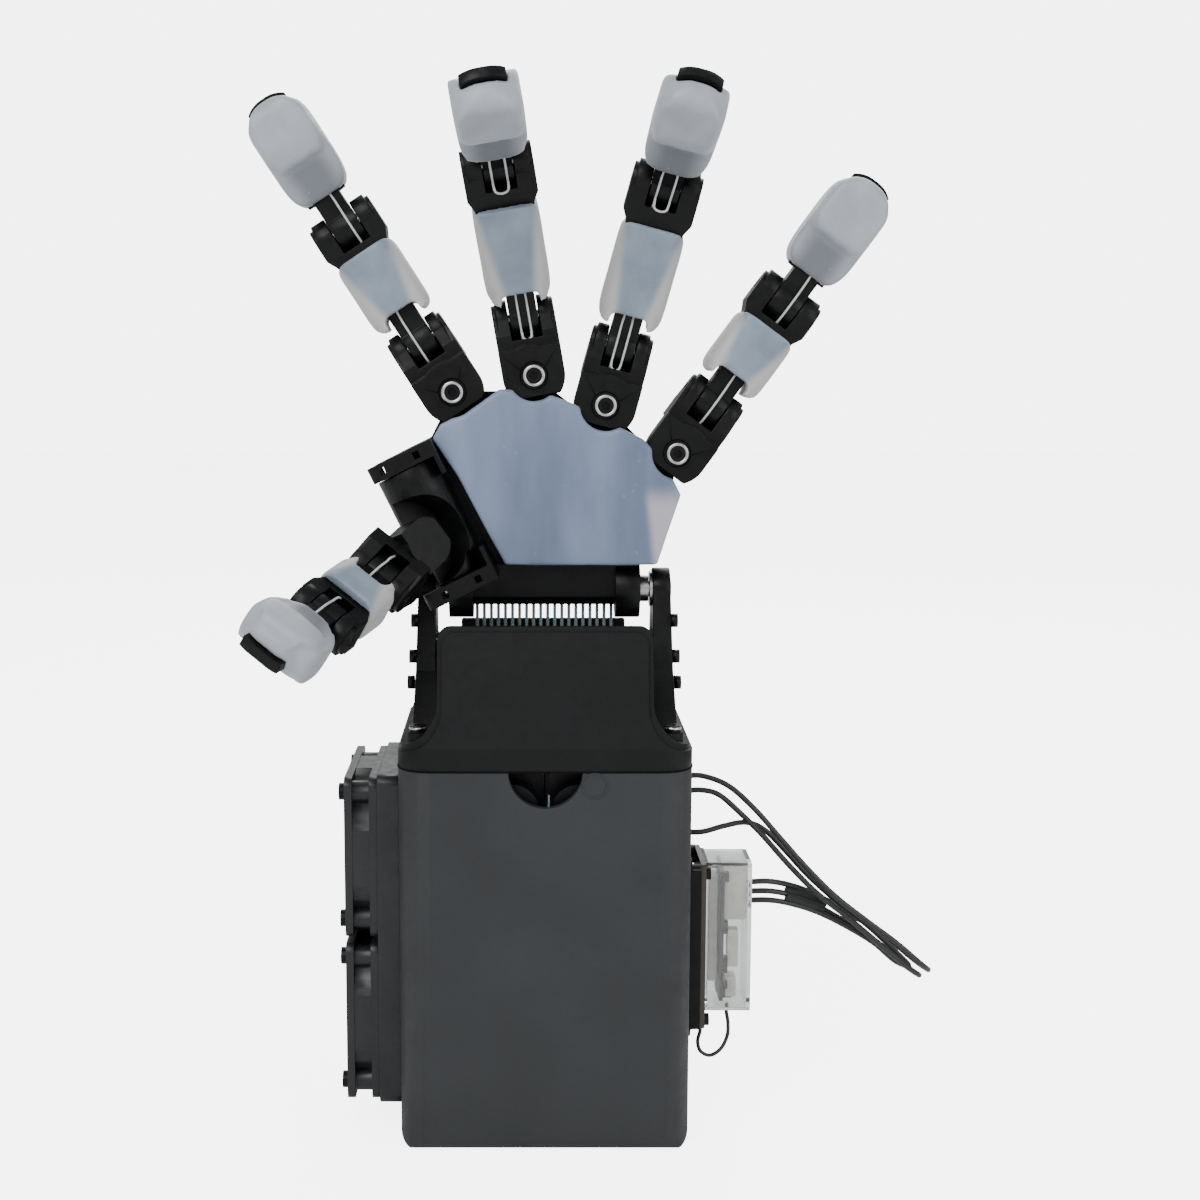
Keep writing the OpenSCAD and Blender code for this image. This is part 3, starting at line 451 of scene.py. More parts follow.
# The same print, dyed black, on the shoulder
COVER_PRINT = PrintedPlastic(
    "dyed_nylon_print_black", "#070808", "#0B0C0D", 0.58, "printed_black", gloss=0.18
)
# Fine print of the small joints: blacker, a little smoother, so that edges catch the light
LINK_PRINT = PrintedPlastic(
    "resin_print_black", "#050506", "#090A0A", 0.42, "printed_black", layer_mm=0.3, gloss=0.17
)
# Moulded fan plastic: satin black with a polish along its ribs
FAN_PLASTIC = Finish(
    "moulded_pbt_black", "#131516", "#1A1C1E", 0.4, "moulded_black", grain_mm=0.8, gloss=0.35
)
# Spark-eroded servo case: even dark grey texture
SERVO_PLASTIC = Finish(
    "moulded_servo_case_grey", "#1A1C1E", "#202224", 0.5, "servo_grey", grain_mm=0.4, gloss=0.35
)
# Stainless steel, turned: bright with fine tool marks
STEEL = TurnedMetal("stainless_steel_turned", "#B9B9B8", "#A3A3A3", 0.3, "steel", 0.06)
# Black-oxide steel of the cap screws: dark, with a dull metal shine
BLACK_OXIDE = TurnedMetal("black_oxide_steel", "#1D1D1E", "#29292A", 0.42, "steel", 0.06)
# Aluminium alloy, anodised dark and turned: a soft grey shine
ALLOY = TurnedMetal("anodised_aluminium_turned", "#242527", "#1C1D1F", 0.45, "spool_alloy", 0.06)
# Platinum-cure silicone, cast over the palm: waxy and blue-grey, with flow marks
PALM_SILICONE = CastSilicone(
    "silicone_cast_palm", "#4D5B71", "#727F97", 0.5, "silicone", mottle_mm=19.0, grain_mm=1.2,
    free_and_shade="#A29FA8", edge="#7F8CA2", bubble_mm=5.0, drawn=0.28,
)
# The same silicone as thin sleeves: bluish over the dark core, milky where it hangs free
FINGER_SILICONE = CastSilicone(
    "silicone_cast_finger", "#667280", "#788592", 0.5, "silicone", mottle_mm=9.0, grain_mm=0.9,
    free_and_shade="#A3A2A0", edge="#939BA3",
)
# The same silicone as thick fingertips: paler, with painted shade in the recess under the pad, darkest over
# the black core
TIP_SILICONE = CastSilicone(
    "silicone_cast_fingertip", "#8B9097", "#999DA4", 0.48, "silicone", mottle_mm=8.0, grain_mm=0.8,
    free_and_shade="#5F6369", edge="#A5A8AC", bubble_mm=3.0,
)
# Clear polycarbonate: sharp reflections, the board shows through
POLYCARBONATE = ClearPlastic("polycarbonate_clear", "#EEF1F1", "#F8F9F9", 0.07, "clear_plastic", 0.04)
# Fibreglass board under brown solder mask: satin with a faint weave
BOARD_MASK = Finish("fr4_solder_mask_brown", "#2A231B", "#33291D", 0.4, "circuit_board", mottle_mm=3.0)
# Soft PVC jacket: black, a little glossy along the crown
JACKET = Finish("pvc_jacket_black", "#08090A", "#0F1011", 0.4, "lead_black", mottle_mm=5.0)
# Painted shadow of the gap between housing and shoulder cover: dull and nearly black
SHADOW_GAP_LINE = Finish("rubber_gasket_black", "#020202", "#050505", 0.8, "lead_black", mottle_mm=4.0, gloss=0.1)
# Cloth tape round the bundle of leads: dull black with a fine weave
CLOTH_TAPE = BraidedLine("cloth_tape_black", "#0B0C0D", "#151617", 0.75, "lead_black", mottle_mm=3.0)
# Ultra-high-strength polyethylene line: milky braid with a silver sheen
LINE = BraidedLine("braided_polyethylene_line", "#B4B7B6", "#9DA2A1", 0.4, "tendon_line", mottle_mm=2.0)
# The same line at the wrist, drawn in painted shade: a dark grey-green where the lit line is milky
SHADED_LINE = BraidedLine("braided_line_waxed", "#46565A", "#5A6C70", 0.45, "tendon_line", mottle_mm=2.0)
# Connector housings in natural nylon: off-white and slightly waxy
NATURAL_NYLON = Finish("moulded_nylon_natural", "#E6E3DA", "#D6D2C6", 0.4, "clear_plastic", mottle_mm=3.0)
# Chip packages: dull black epoxy
EPOXY = Finish("moulded_epoxy_black", "#101011", "#171718", 0.5, "circuit_board", mottle_mm=2.0)


# ---------- meshes and modifiers ----------


# Points closer than this are one, in millimetres: in a built mesh, and before its edges are rounded
MERGE_MM = 0.001
WELD_MM = 0.002
# Edges that turn by less than this stay as they are
SHARP_ANGLE = math.radians(38)
# Keeps a division by zero away from the middle of a casting
TINY = 1e-6


def new_object(name: str, data: bpy.types.ID) -> Piece:
    """Links a mesh, curve, lamp or camera into the scene.

    Args:
        name: the object's name.
        data: what it shows.

    Returns:
        The object, at the origin.
    """
    obj = bpy.data.objects.new(name, data)
    bpy.context.scene.collection.objects.link(obj)
    return obj


def from_bmesh(name: str, bm: bmesh.types.BMesh, smooth: bool = True) -> Piece:
    """Turns a bmesh into an object and frees it.

    Args:
        name: the new object's name.
        bm: the mesh that is built.
        smooth: whether the faces are shaded smooth.

    Returns:
        The object, at the origin.
    """
    bmesh.ops.remove_doubles(bm, verts=bm.verts, dist=mm(MERGE_MM))
    bmesh.ops.recalc_face_normals(bm, faces=bm.faces)
    mesh = bpy.data.meshes.new(name)
    bm.to_mesh(mesh)
    bm.free()
    for polygon in mesh.polygons:
        polygon.use_smooth = smooth
    return new_object(name, mesh)


def baked(obj: Piece) -> Piece:
    """Replaces an object by the plain mesh that its modifiers make.

    Args:
        obj: a mesh or curve object with its modifiers.

    Returns:
        A mesh object of the same name with no modifiers.
    """
    graph = bpy.context.evaluated_depsgraph_get()
    mesh = bpy.data.meshes.new_from_object(obj.evaluated_get(graph), depsgraph=graph)
    name = obj.name
    bpy.data.objects.remove(obj)
    mesh.name = name
    made = new_object(name, mesh)
    made.name = name
    return made


def soften_edges(obj: Piece, width_mm: float, steps: int = 2) -> None:
    """Rounds a machined piece's edges a little, so that they catch the light.

    Args:
        obj: the piece; its own mesh stays as it is.
        width_mm: how far the rounding reaches from the edge.
        steps: how many faces make up the rounding.
    """
    weld = obj.modifiers.new("weld", "WELD")
    weld.merge_threshold = mm(WELD_MM)
    bevel = obj.modifiers.new("edge", "BEVEL")
    bevel.width = mm(width_mm)
    bevel.segments = steps
    bevel.limit_method = "ANGLE"
    bevel.angle_limit = SHARP_ANGLE
    bevel.use_clamp_overlap = True
    bevel.harden_normals = True


@dataclass(frozen=True)
class LinkFrame:
    """Frame of one link: z along it, x along its hinge pin and -y on the palm side.

    Attributes:
        origin: the link's lower joint.
        x: direction of the hinge pin.
        z: direction of the link.
    """

    origin: Vector
    x: Vector
    z: Vector

    @property
    def y(self) -> Vector:
        """Towards the back of the hand."""
        return self.z.cross(self.x)

    def at(self, x_mm: float, y_mm: float, z_mm: float) -> Vector:
        """A point given in the link's own millimetres."""
        return self.origin + (self.x * x_mm + self.y * y_mm + self.z * z_mm) * 0.001

    def inside(self, point: Vector) -> Vector:
        """A point of the part's frame in the link's own millimetres."""
        d = (point - self.origin) * 1000
        return Vector((d.dot(self.x), d.dot(self.y), d.dot(self.z)))

    def bent(self, degrees: float, origin: Vector) -> "LinkFrame":
        """The frame at origin of a link that is bent about x towards the palm side."""
        turned = Matrix.Rotation(math.radians(degrees), 3, self.x) @ self.z
        return LinkFrame(origin, self.x, turned)


def block(name: str, seat: LinkFrame, low: Point, high: Point) -> Piece:
    """A box with its sides along a frame's axes.

    Args:
        name: the piece's name.
        seat: the frame.
        low: its lowest corner, in the frame's own millimetres.
        high: its highest corner.

    Returns:
        The box, with flat faces.
    """
    bm = bmesh.new()
    bmesh.ops.create_cube(bm, size=1.0)
    for vertex in bm.verts:
        share = [c + 0.5 for c in vertex.co]
        vertex.co = seat.at(*(low[i] + (high[i] - low[i]) * share[i] for i in range(3)))
    return from_bmesh(name, bm, smooth=False)


JOINTS = {j["name"]: j for j in frame["joints"]}


def joint_at(name: str) -> Vector:
    """Where a joint's axis passes through its own origin."""
    return Vector(JOINTS[name]["pos_m"])


def joint_axis(name: str) -> Vector:
    """The direction of a joint's axis."""
    return Vector(JOINTS[name]["axis"]).normalized()


# ---------- repeated forms as geometry trees ----------


def socket_identifier(tree: Tree, name: str) -> str:
    """Finds the identifier under which a modifier keeps a tree's input.

    Args:
        tree: the geometry tree.
        name: the input's name.

    Returns:
        The identifier.

    Raises:
        KeyError: the tree has no such input.
    """
    for item in tree.interface.items_tree:
        if item.item_type == "SOCKET" and item.in_out == "INPUT" and item.name == name:
            return item.identifier
    raise KeyError(name)


def new_geometry_tree(name: str, sizes: dict[str, float | int]) -> Tree:
    """Starts a geometry tree with a geometry input, its sizes, a material and an output.

    Args:
        name: the tree's name.
        sizes: name and default of each size; whole numbers make whole-number inputs.

    Returns:
        The tree, with its group input and output nodes in place.
    """
    tree = bpy.data.node_groups.new(name, "GeometryNodeTree")
    tree.interface.new_socket("Geometry", in_out="INPUT", socket_type="NodeSocketGeometry")
    for label, value in sizes.items():
        kind = "NodeSocketInt" if isinstance(value, int) else "NodeSocketFloat"
        tree.interface.new_socket(label, in_out="INPUT", socket_type=kind).default_value = value
    tree.interface.new_socket("Material", in_out="INPUT", socket_type="NodeSocketMaterial")
    tree.interface.new_socket("Geometry", in_out="OUTPUT", socket_type="NodeSocketGeometry")
    add_node(tree, "NodeGroupInput")
    add_node(tree, "NodeGroupOutput")
    return tree


def close_tree(tree: Tree, shape: Socket) -> None:
    """Ends a tree in real instances and its material.

    Args:
        tree: the geometry tree.
        shape: what it shows.
    """
    source = tree.nodes["Group Input"].outputs
    real = add_node(tree, "GeometryNodeRealizeInstances", {"Geometry": shape})
    dressed = add_node(
        tree, "GeometryNodeSetMaterial", {"Geometry": real.outputs[0], "Material": source["Material"]}
    )
    tree.links.new(dressed.outputs[0], tree.nodes["Group Output"].inputs[0])


def on_points(tree: Tree, form: Socket) -> Socket:
    """Puts a form on every point of the tree's input, turned from z to the "facing" attribute.

    Args:
        tree: the geometry tree.
        form: the form, which points along z.

    Returns:
        The forms, shaded smooth.
    """
    facing = add_node(
        tree, "GeometryNodeInputNamedAttribute", {"Name": "facing"}, data_type="FLOAT_VECTOR"
    )
    turn = add_node(tree, "FunctionNodeAlignRotationToVector", {"Vector": facing.outputs[0]}, axis="Z")
    placed = add_node(
        tree, "GeometryNodeInstanceOnPoints",
        {"Points": tree.nodes["Group Input"].outputs["Geometry"], "Instance": form,
         "Rotation": turn.outputs[0]},
    )
    return add_node(tree, "GeometryNodeSetShadeSmooth", {"Geometry": placed.outputs[0]}).outputs[0]


def strand_tree() -> Tree:
    """Builds the tree that gives every spline of a curve a round section.

    Returns:
        The tree, with the section's radius and number of sides as sizes.
    """
    tree = new_geometry_tree("strands", {"Radius": mm(0.4), "Sides": 8})
    source = tree.nodes["Group Input"].outputs
    ring = add_node(
        tree, "GeometryNodeCurvePrimitiveCircle",
        {"Radius": source["Radius"], "Resolution": source["Sides"]},
    )
    swept = add_node(
        tree, "GeometryNodeCurveToMesh",
        {"Curve": source["Geometry"], "Profile Curve": ring.outputs[0], "Fill Caps": True},
    )
    smooth = add_node(tree, "GeometryNodeSetShadeSmooth", {"Geometry": swept.outputs[0]})
    close_tree(tree, smooth.outputs[0])
    return tree


def cap_screw_tree() -> Tree:
    """Builds the tree that puts a screw head with a round socket on every point.

    Returns:
        The tree, with the head's radius and height as sizes.
    """
    sides, socket_share, socket_depth = 20, 0.55, 0.6
    tree = new_geometry_tree("cap_screws", {"Radius": mm(2), "Height": mm(1)})
    source = tree.nodes["Group Input"].outputs
    head = add_node(
        tree, "GeometryNodeMeshCylinder",
        {"Vertices": sides, "Radius": source["Radius"], "Depth": source["Height"]}, fill_type="NGON",
    )
    rim = add_node(
        tree, "GeometryNodeExtrudeMesh",
        {"Mesh": head.outputs["Mesh"], "Selection": head.outputs["Top"], "Offset Scale": 0.0}, mode="FACES",
    )
    narrow = add_node(
        tree, "GeometryNodeScaleElements",
        {"Geometry": rim.outputs["Mesh"], "Selection": rim.outputs["Top"], "Scale": socket_share},
    )
    depth = add_node(tree, "ShaderNodeMath", {0: source["Height"], 1: -socket_depth}, operation="MULTIPLY")
    socket = add_node(
        tree, "GeometryNodeExtrudeMesh",
        {"Mesh": narrow.outputs[0], "Selection": rim.outputs["Top"], "Offset Scale": depth.outputs[0]},
        mode="FACES",
    )
    close_tree(tree, on_points(tree, socket.outputs["Mesh"]))
    return tree


def collar_tree() -> Tree:
    """Builds the tree that puts a round-sectioned ring on every point.

    Returns:
        The tree, with the ring's radius and its section's radius as sizes.
    """
    ring_sides, section_sides = 40, 12
    tree = new_geometry_tree("collars", {"Radius": mm(3), "Thickness": mm(0.5)})
    source = tree.nodes["Group Input"].outputs
    path = add_node(
        tree, "GeometryNodeCurvePrimitiveCircle", {"Radius": source["Radius"], "Resolution": ring_sides}
    )
    section = add_node(
        tree, "GeometryNodeCurvePrimitiveCircle",
        {"Radius": source["Thickness"], "Resolution": section_sides},
    )
    ring = add_node(
        tree, "GeometryNodeCurveToMesh", {"Curve": path.outputs[0], "Profile Curve": section.outputs[0]}
    )
    close_tree(tree, on_points(tree, ring.outputs[0]))
    return tree


def package_tree() -> Tree:
    """Builds the tree that puts a small block on every point, as large as its "size" attribute says.

    Returns:
        The tree, which has no sizes of its own.
    """
    tree = new_geometry_tree("packages", {})
    unit = add_node(tree, "GeometryNodeMeshCube", {"Size": (1.0, 1.0, 1.0)})
    size = add_node(tree, "GeometryNodeInputNamedAttribute", {"Name": "size"}, data_type="FLOAT_VECTOR")
    placed = add_node(
        tree, "GeometryNodeInstanceOnPoints",
        {"Points": tree.nodes["Group Input"].outputs["Geometry"], "Instance": unit.outputs["Mesh"],
         "Scale": size.outputs[0]},
    )
    close_tree(tree, placed.outputs[0])
    return tree


class Pattern(Enum):
    """The repeated forms; each value is the name of the form's tree."""

    STRANDS = "strands"
    CAP_SCREWS = "cap_screws"
    COLLARS = "collars"
    PACKAGES = "packages"

    def tree(self) -> Tree:
        """Builds the tree once and gives it back afterwards."""
        return bpy.data.node_groups.get(self.value) or TREE_BUILDERS[self]()


TREE_BUILDERS: dict[Pattern, Callable[[], Tree]] = {
    Pattern.STRANDS: strand_tree,
    Pattern.CAP_SCREWS: cap_screw_tree,
    Pattern.COLLARS: collar_tree,
    Pattern.PACKAGES: package_tree,
}


def repeated(obj: Piece, pattern: Pattern, finish: Finish, **sizes: float | int) -> Piece:
    """Runs a pattern over an object's points or splines and keeps the plain mesh.

    Args:
        obj: the points or the curve.
        pattern: which form is repeated.
        finish: what it is made of.
        sizes: the tree's named inputs, in metres.

    Returns:
        The finished mesh object.
    """
    tree = pattern.tree()
    modifier = obj.modifiers.new(pattern.value, "NODES")
    modifier.node_group = tree
    modifier[socket_identifier(tree, "Material")] = finish.material()
    for name, value in sizes.items():
        modifier[socket_identifier(tree, name)] = value
    return baked(obj)


def splines(name: str, paths: Iterable[Sequence[Vector]]) -> Piece:
    """Makes a curve object with one open poly spline for each path.

    Args:
        name: the object's name.
        paths: the points of each spline.

    Returns:
        The curve object.
    """
    curve = bpy.data.curves.new(name, "CURVE")
    curve.dimensions = "3D"
    for path in paths:
        spline = curve.splines.new("POLY")
        spline.points.add(len(path) - 1)
        for point, place in zip(spline.points, path):
            point.co = (*place, 1.0)
    return new_object(name, curve)


def points(name: str, places: Sequence[Vector], vectors: Sequence[Vector], label: str) -> Piece:
    """Makes a mesh of loose points, each with a vector attribute.

    Args:
        name: the object's name.
        places: where the points are.
        vectors: the attribute's value at each.
        label: the attribute's name.

    Returns:
        The mesh object.
    """
    mesh = bpy.data.meshes.new(name)
    mesh.from_pydata([tuple(p) for p in places], [], [])
    held = mesh.attributes.new(label, "FLOAT_VECTOR", "POINT")
    for i, vector in enumerate(vectors):
        held.data[i].vector = tuple(vector)
    return new_object(name, mesh)


def smooth_path(route: Sequence[Vector], steps: int) -> list[Vector]:
    """Catmull-Rom line through a route's points.

    Args:
        route: the points that it passes.
        steps: how many pieces each stretch is cut into.

    Returns:
        The line's points, with the route's own ends.
    """
    ends = [route[0] * 2 - route[1], *route, route[-1] * 2 - route[-2]]
    line: list[Vector] = []
    for a, b, c, d in zip(ends, ends[1:], ends[2:], ends[3:]):
        for i in range(steps):
            t = i / steps
            line.append(
                ((b * 2) + (c - a) * t + (a * 2 - b * 5 + c * 4 - d) * t * t
                 + (b * 3 - a - c * 3 + d) * t**3) * 0.5
            )
    line.append(route[-1].copy())
    return line


# ---------- castings ----------


@dataclass(frozen=True)
class Fade:
    """A smooth step between two distances, both in millimetres.

    Attributes:
        start_mm: where it starts to rise.
        end_mm: where it is up.
    """

    start_mm: float
    end_mm: float

    def over(self, value_mm: float, line_mm: float = 0.0) -> float:
        """How far the step has risen, from 0 to 1.

        Args:
            value_mm: where the point lies.
            line_mm: the line that the step's distances count from.

        Returns:
            The share that it has risen.
        """
        start, end = line_mm + self.start_mm, line_mm + self.end_mm
        t = max(0.0, min(1.0, (value_mm - start) / (end - start)))
        return t * t * (3 - 2 * t)


@dataclass
class Casting:
    """A soft silicone piece, cast over a link and rounded off by remeshing its solid.

    Attributes:
        node: the solid whose place it takes.
        body: the body that it rides on.
        finish: what it is made of.
        frame: the link's own frame, for painting.
        free: share from 0 to 1 that leads to the second colour: how far a point hangs free of the core, and
            on the fingertip how deep the painted shade of the recess lies.
        voxel_mm: the remesh's cell.
        rounding: how many smoothing passes round the edges.
        pull: how far each pass moves a point towards its neighbours.
        lump_mm: how far the hand-cast surface wanders.
        lump_size_mm: how wide its lumps are.
        corners: how square the outline's lower and upper corners stay; a small number is rounder
            and None leaves them.
        section: the same for the corners of the piece's section; None leaves them.
        lower_section: the same for the lower half's section from front to back.
    """

    node: str
    body: str
    finish: CastSilicone
    frame: LinkFrame
    free: Callable[[Vector], float]
    voxel_mm: float = 0.55
    rounding: int = 7
    pull: float = 0.5
    lump_mm: float = 0.12
    lump_size_mm: float = 9.0
    corners: tuple[float, float] | None = (7.0, 9.0)
    section: float | None = None
    lower_section: float = 12.0

    def build(self) -> Piece:
        """Remeshes, rounds, paints and seats the piece.

        Returns:
            The finished casting.
        """
        bm = bmesh.new()
        bm.from_mesh(frame["nodes"][self.node].data)
        obj = from_bmesh(self.node + "_cast", bm)
        remesh = obj.modifiers.new("remesh", "REMESH")
        remesh.mode = "VOXEL"
        remesh.voxel_size = mm(self.voxel_mm)
        size = self.extents(obj.data)
        obj = baked(obj)
        if self.corners:
            self.draw_in(obj.data, size)
        round_off = obj.modifiers.new("round", "SMOOTH")
        round_off.factor = self.pull
        round_off.iterations = self.rounding
        obj = baked(obj)
        self.refit(obj.data, size)
        self.sculpt(obj.data)
        self.paint(obj.data)
        self.finish.dress(obj)
        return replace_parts(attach(obj, self.body), self.node)

    def extents(self, mesh: bpy.types.Mesh) -> tuple[Vector, Vector]:
        """Measures a mesh in the link's own millimetres.

        Args:
            mesh: the mesh.

        Returns:
            Its lowest and highest corner.
        """
        inner = [self.frame.inside(v.co) for v in mesh.vertices]
        low, high = (Vector(tuple(pick(p[i] for p in inner) for i in range(3))) for pick in (min, max))
        return low, high

    def draw_in(self, mesh: bpy.types.Mesh, size: tuple[Vector, Vector]) -> None:
        """Rounds the corners of the outline seen from the palm side and keeps its extents.

        Args:
            mesh: the casting's mesh.
            size: its lowest and highest corner in the link's own millimetres.
        """
        low, high = size
        middle, half = (low + high) / 2, (high - low) / 2
        lower_corners, upper_corners = self.corners
        for vertex in mesh.vertices:
            p = self.frame.inside(vertex.co) - middle
            upper = p.z > 0
            turns = [(0, 2, upper_corners if upper else lower_corners)]
            if self.section:
                turns += [(0, 1, self.section), (1, 2, self.section if upper else self.lower_section)]
            for i, j, power in turns:
                first, second = abs(p[i]) / half[i], abs(p[j]) / half[j]
                rounded = (first**power + second**power) ** (1 / power)
                shrink = max(first, second) / max(rounded, TINY)
                p[i] *= shrink
                p[j] *= shrink
            vertex.co = self.frame.at(*(middle + p))

    def refit(self, mesh: bpy.types.Mesh, size: tuple[Vector, Vector]) -> None:
        """Stretches the rounded form back to the extents that it had.

        Args:
            mesh: the casting's mesh.
            size: the lowest and highest corner that it had.
        """
        low, high = size
        now_low, now_high = self.extents(mesh)
        for vertex in mesh.vertices:
            p = self.frame.inside(vertex.co)
            vertex.co = self.frame.at(
                *(low[i] + (p[i] - now_low[i]) * (high[i] - low[i]) / (now_high[i] - now_low[i])
                  for i in range(3))
            )

    def sculpt(self, mesh: bpy.types.Mesh) -> None:
        """Moves the surface in by a slow hand-made wave.

        Args:
            mesh: the casting's mesh.
        """
        normals = [v.normal.copy() for v in mesh.vertices]
        for vertex, normal in zip(mesh.vertices, normals):
            place = self.frame.inside(vertex.co) / self.lump_size_mm
            vertex.co -= normal * mm(self.lump_mm) * (0.5 + 0.5 * noise.noise(place))
        for polygon in mesh.polygons:
            polygon.use_smooth = True

    def paint(self, mesh: bpy.types.Mesh) -> None:
        """Writes the painted share on the mesh's points: how far it hangs free, and on the fingertip the
        painted shade of the recess.
        """
        # This attribute holds the painted share, which on the fingertip is painted shade
        held = mesh.attributes.new("hang", "FLOAT", "POINT")
        held.data.foreach_set("value", [self.free(self.frame.inside(v.co)) for v in mesh.vertices])


# ---------- the studio ----------


# White paper backdrop: matt and almost even
STUDIO_PAPER = Finish("studio_paper", "#F4F4F4", "#F1F1F1", 0.8, "", mottle_mm=300.0)


@dataclass(frozen=True)
class Panel:
    """A soft square light.

    Attributes:
        name: its name.
        place: where it stands.
        size: its side.
        power: how much light it gives, in watts.
    """

    name: str
    place: Point
    size: float
    power: float


@dataclass
class Studio:
    """Camera, floor and lights; none of it belongs to the hand.

    Attributes:
        camera_at: where the camera stands.
        tilt_deg: how far it looks down.
        lens_mm: its focal length.
        shift: how far the view is moved sideways, as a share of its width.
        near: how close it still sees.
        floor_half: half the floor's side.
        floor_drop_mm: how far the floor lies under the tower's foot, so that the two don't share a plane.
        floor_seen_strength: brightness of the floor as the camera sees it.
        sky_seen_strength: the same for the sky.
        sky_lit_strength: how brightly the sky lights the hand.
        panels: the light panels.
        aim_at: the middle of the hand, which every panel points at.
    """

    camera_at: Point = (-0.006, -0.560, 0.239)
    tilt_deg: float = 7.7
    lens_mm: float = 54.24
    shift: float = 0.0625
    near: float = 0.01
    floor_half: float = 4.0
    floor_drop_mm: float = 0.3
    floor_seen_strength: float = 4.8
    sky_seen_strength: float = 6.0
    sky_lit_strength: float = 0.75
    panels: tuple[Panel, ...] = (
        Panel("key_panel", (-0.55, -1.0, 1.05), 0.9, 19.0),
        Panel("fill_panel", (0.95, -0.75, 0.55), 0.8, 7.0),
        Panel("back_panel", (0.2, 0.95, 0.95), 0.9, 9.0),
    )
    aim_at: Point = (0.0, 0.0, 0.16)

    def build(self) -> None:
        """Makes the camera, the floor, the sky and the panels."""
        self.camera()
        self.floor()
        self.sky()
        for panel in self.panels:
            self.light(panel)

    def camera(self) -> None:
        """Places the camera in front, a little above the palm."""
        made = bpy.data.cameras.new("front_camera")
        made.lens = self.lens_mm
        made.shift_x = self.shift
        made.clip_start = self.near
        obj = new_object("front_camera", made)
        obj.location = self.camera_at
        obj.rotation_euler = (math.radians(90 - self.tilt_deg), 0.0, 0.0)
        bpy.context.scene.camera = obj

    def floor(self) -> None:
        """Lays a wide pale floor just under the tower."""
        bm = bmesh.new()
        bmesh.ops.create_grid(bm, x_segments=1, y_segments=1, size=self.floor_half)
        obj = from_bmesh("studio_floor", bm, smooth=False)
        obj.location.z = -mm(self.floor_drop_mm)
        STUDIO_PAPER.dress(obj)
        tree = obj.data.materials[0].node_tree
        shader = next(n for n in tree.nodes if n.type == "BSDF_PRINCIPLED")
        shader.inputs["Emission Color"].default_value = linear("#FFFFFF")
        strength = self.strength(tree, 0.0, self.floor_seen_strength)
        tree.links.new(strength, shader.inputs["Emission Strength"])

    def strength(self, tree: Tree, lit: float, seen: float) -> Socket:
        """Sets one strength for the light that falls on the hand and another for the camera.

        Args:
            tree: the floor's or the sky's tree.
            lit: strength towards the hand.
            seen: strength where the camera looks straight at it.

        Returns:
            The strength.
        """
        path = add_node(tree, "ShaderNodeLightPath")
        return add_node(
            tree, "ShaderNodeMapRange",
            {"Value": path.outputs["Is Camera Ray"], "To Min": lit, "To Max": seen},
        ).outputs[0]

    def sky(self) -> None:
        """Makes an even pale light from all round, seen brighter than it lights the hand."""
        world = bpy.data.worlds.new("studio_sky")
        world.use_nodes = True
        tree = world.node_tree
        back = tree.nodes["Background"]
        back.inputs["Color"].default_value = linear("#F7F8FA")
        strength = self.strength(tree, self.sky_lit_strength, self.sky_seen_strength)
        tree.links.new(strength, back.inputs["Strength"])
        bpy.context.scene.world = world

    def light(self, panel: Panel) -> None:
        """Adds a panel that points at the middle of the hand.

        Args:
            panel: the panel.
        """
        made = bpy.data.lights.new(panel.name, "AREA")
        made.shape = "SQUARE"
        made.size = panel.size
        made.energy = panel.power
        obj = new_object(panel.name, made)
        obj.location = panel.place
        aim = Vector(self.aim_at) - Vector(panel.place)
        obj.rotation_euler = aim.to_track_quat("-Z", "Y").to_euler()


# ---------- leads ----------


@dataclass
class Lead:
    """One lead that leaves the tower's side, hangs in the air in a loop and plugs into the adapter.

    Attributes:
        node: the solid whose place it takes.
        route_mm: the points that it passes.
        radius_mm: the jacket's radius.
        steps: how many pieces each stretch of the route is cut into.
        sides: how many sides its section has.
        wrap_mm: the stretches of tape round the bundle, if they are on this lead.
        wrap_radius_mm: the tape's radius.
        wrap_sides: how many sides the tape's section has.
    """

    node: str
    route_mm: list[Point]
    radius_mm: float
    steps: int = 6
    sides: int = 12
    wrap_mm: tuple[tuple[Point, Point, Point], ...] = ()
    wrap_radius_mm: float = 1.5
    wrap_sides: int = 14

    def build(self) -> list[Piece]:
        """Returns:
            The jacket and its tape.
        """
        line = smooth_path([metres(p) for p in self.route_mm], self.steps)
        obj = repeated(
            splines(self.node + "_jacket", [line]), Pattern.STRANDS, JACKET,
            Radius=mm(self.radius_mm), Sides=self.sides,
        )
        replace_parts(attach(obj, "tower"), self.node)
        taped = self.wrap()
        return [obj, *taped]

    def wrap(self) -> list[Piece]:
        """Winds the tape that holds the bundle together.

        Returns:
            The tape, or nothing where this lead has none.
        """
        if not self.wrap_mm:
            return []
        paths = [smooth_path([metres(p) for p in route], self.steps) for route in self.wrap_mm]
        obj = repeated(
            splines(self.node + "_wrap", paths), Pattern.STRANDS, CLOTH_TAPE,
            Radius=mm(self.wrap_radius_mm), Sides=self.wrap_sides,
        )
        return [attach(obj, "tower")]


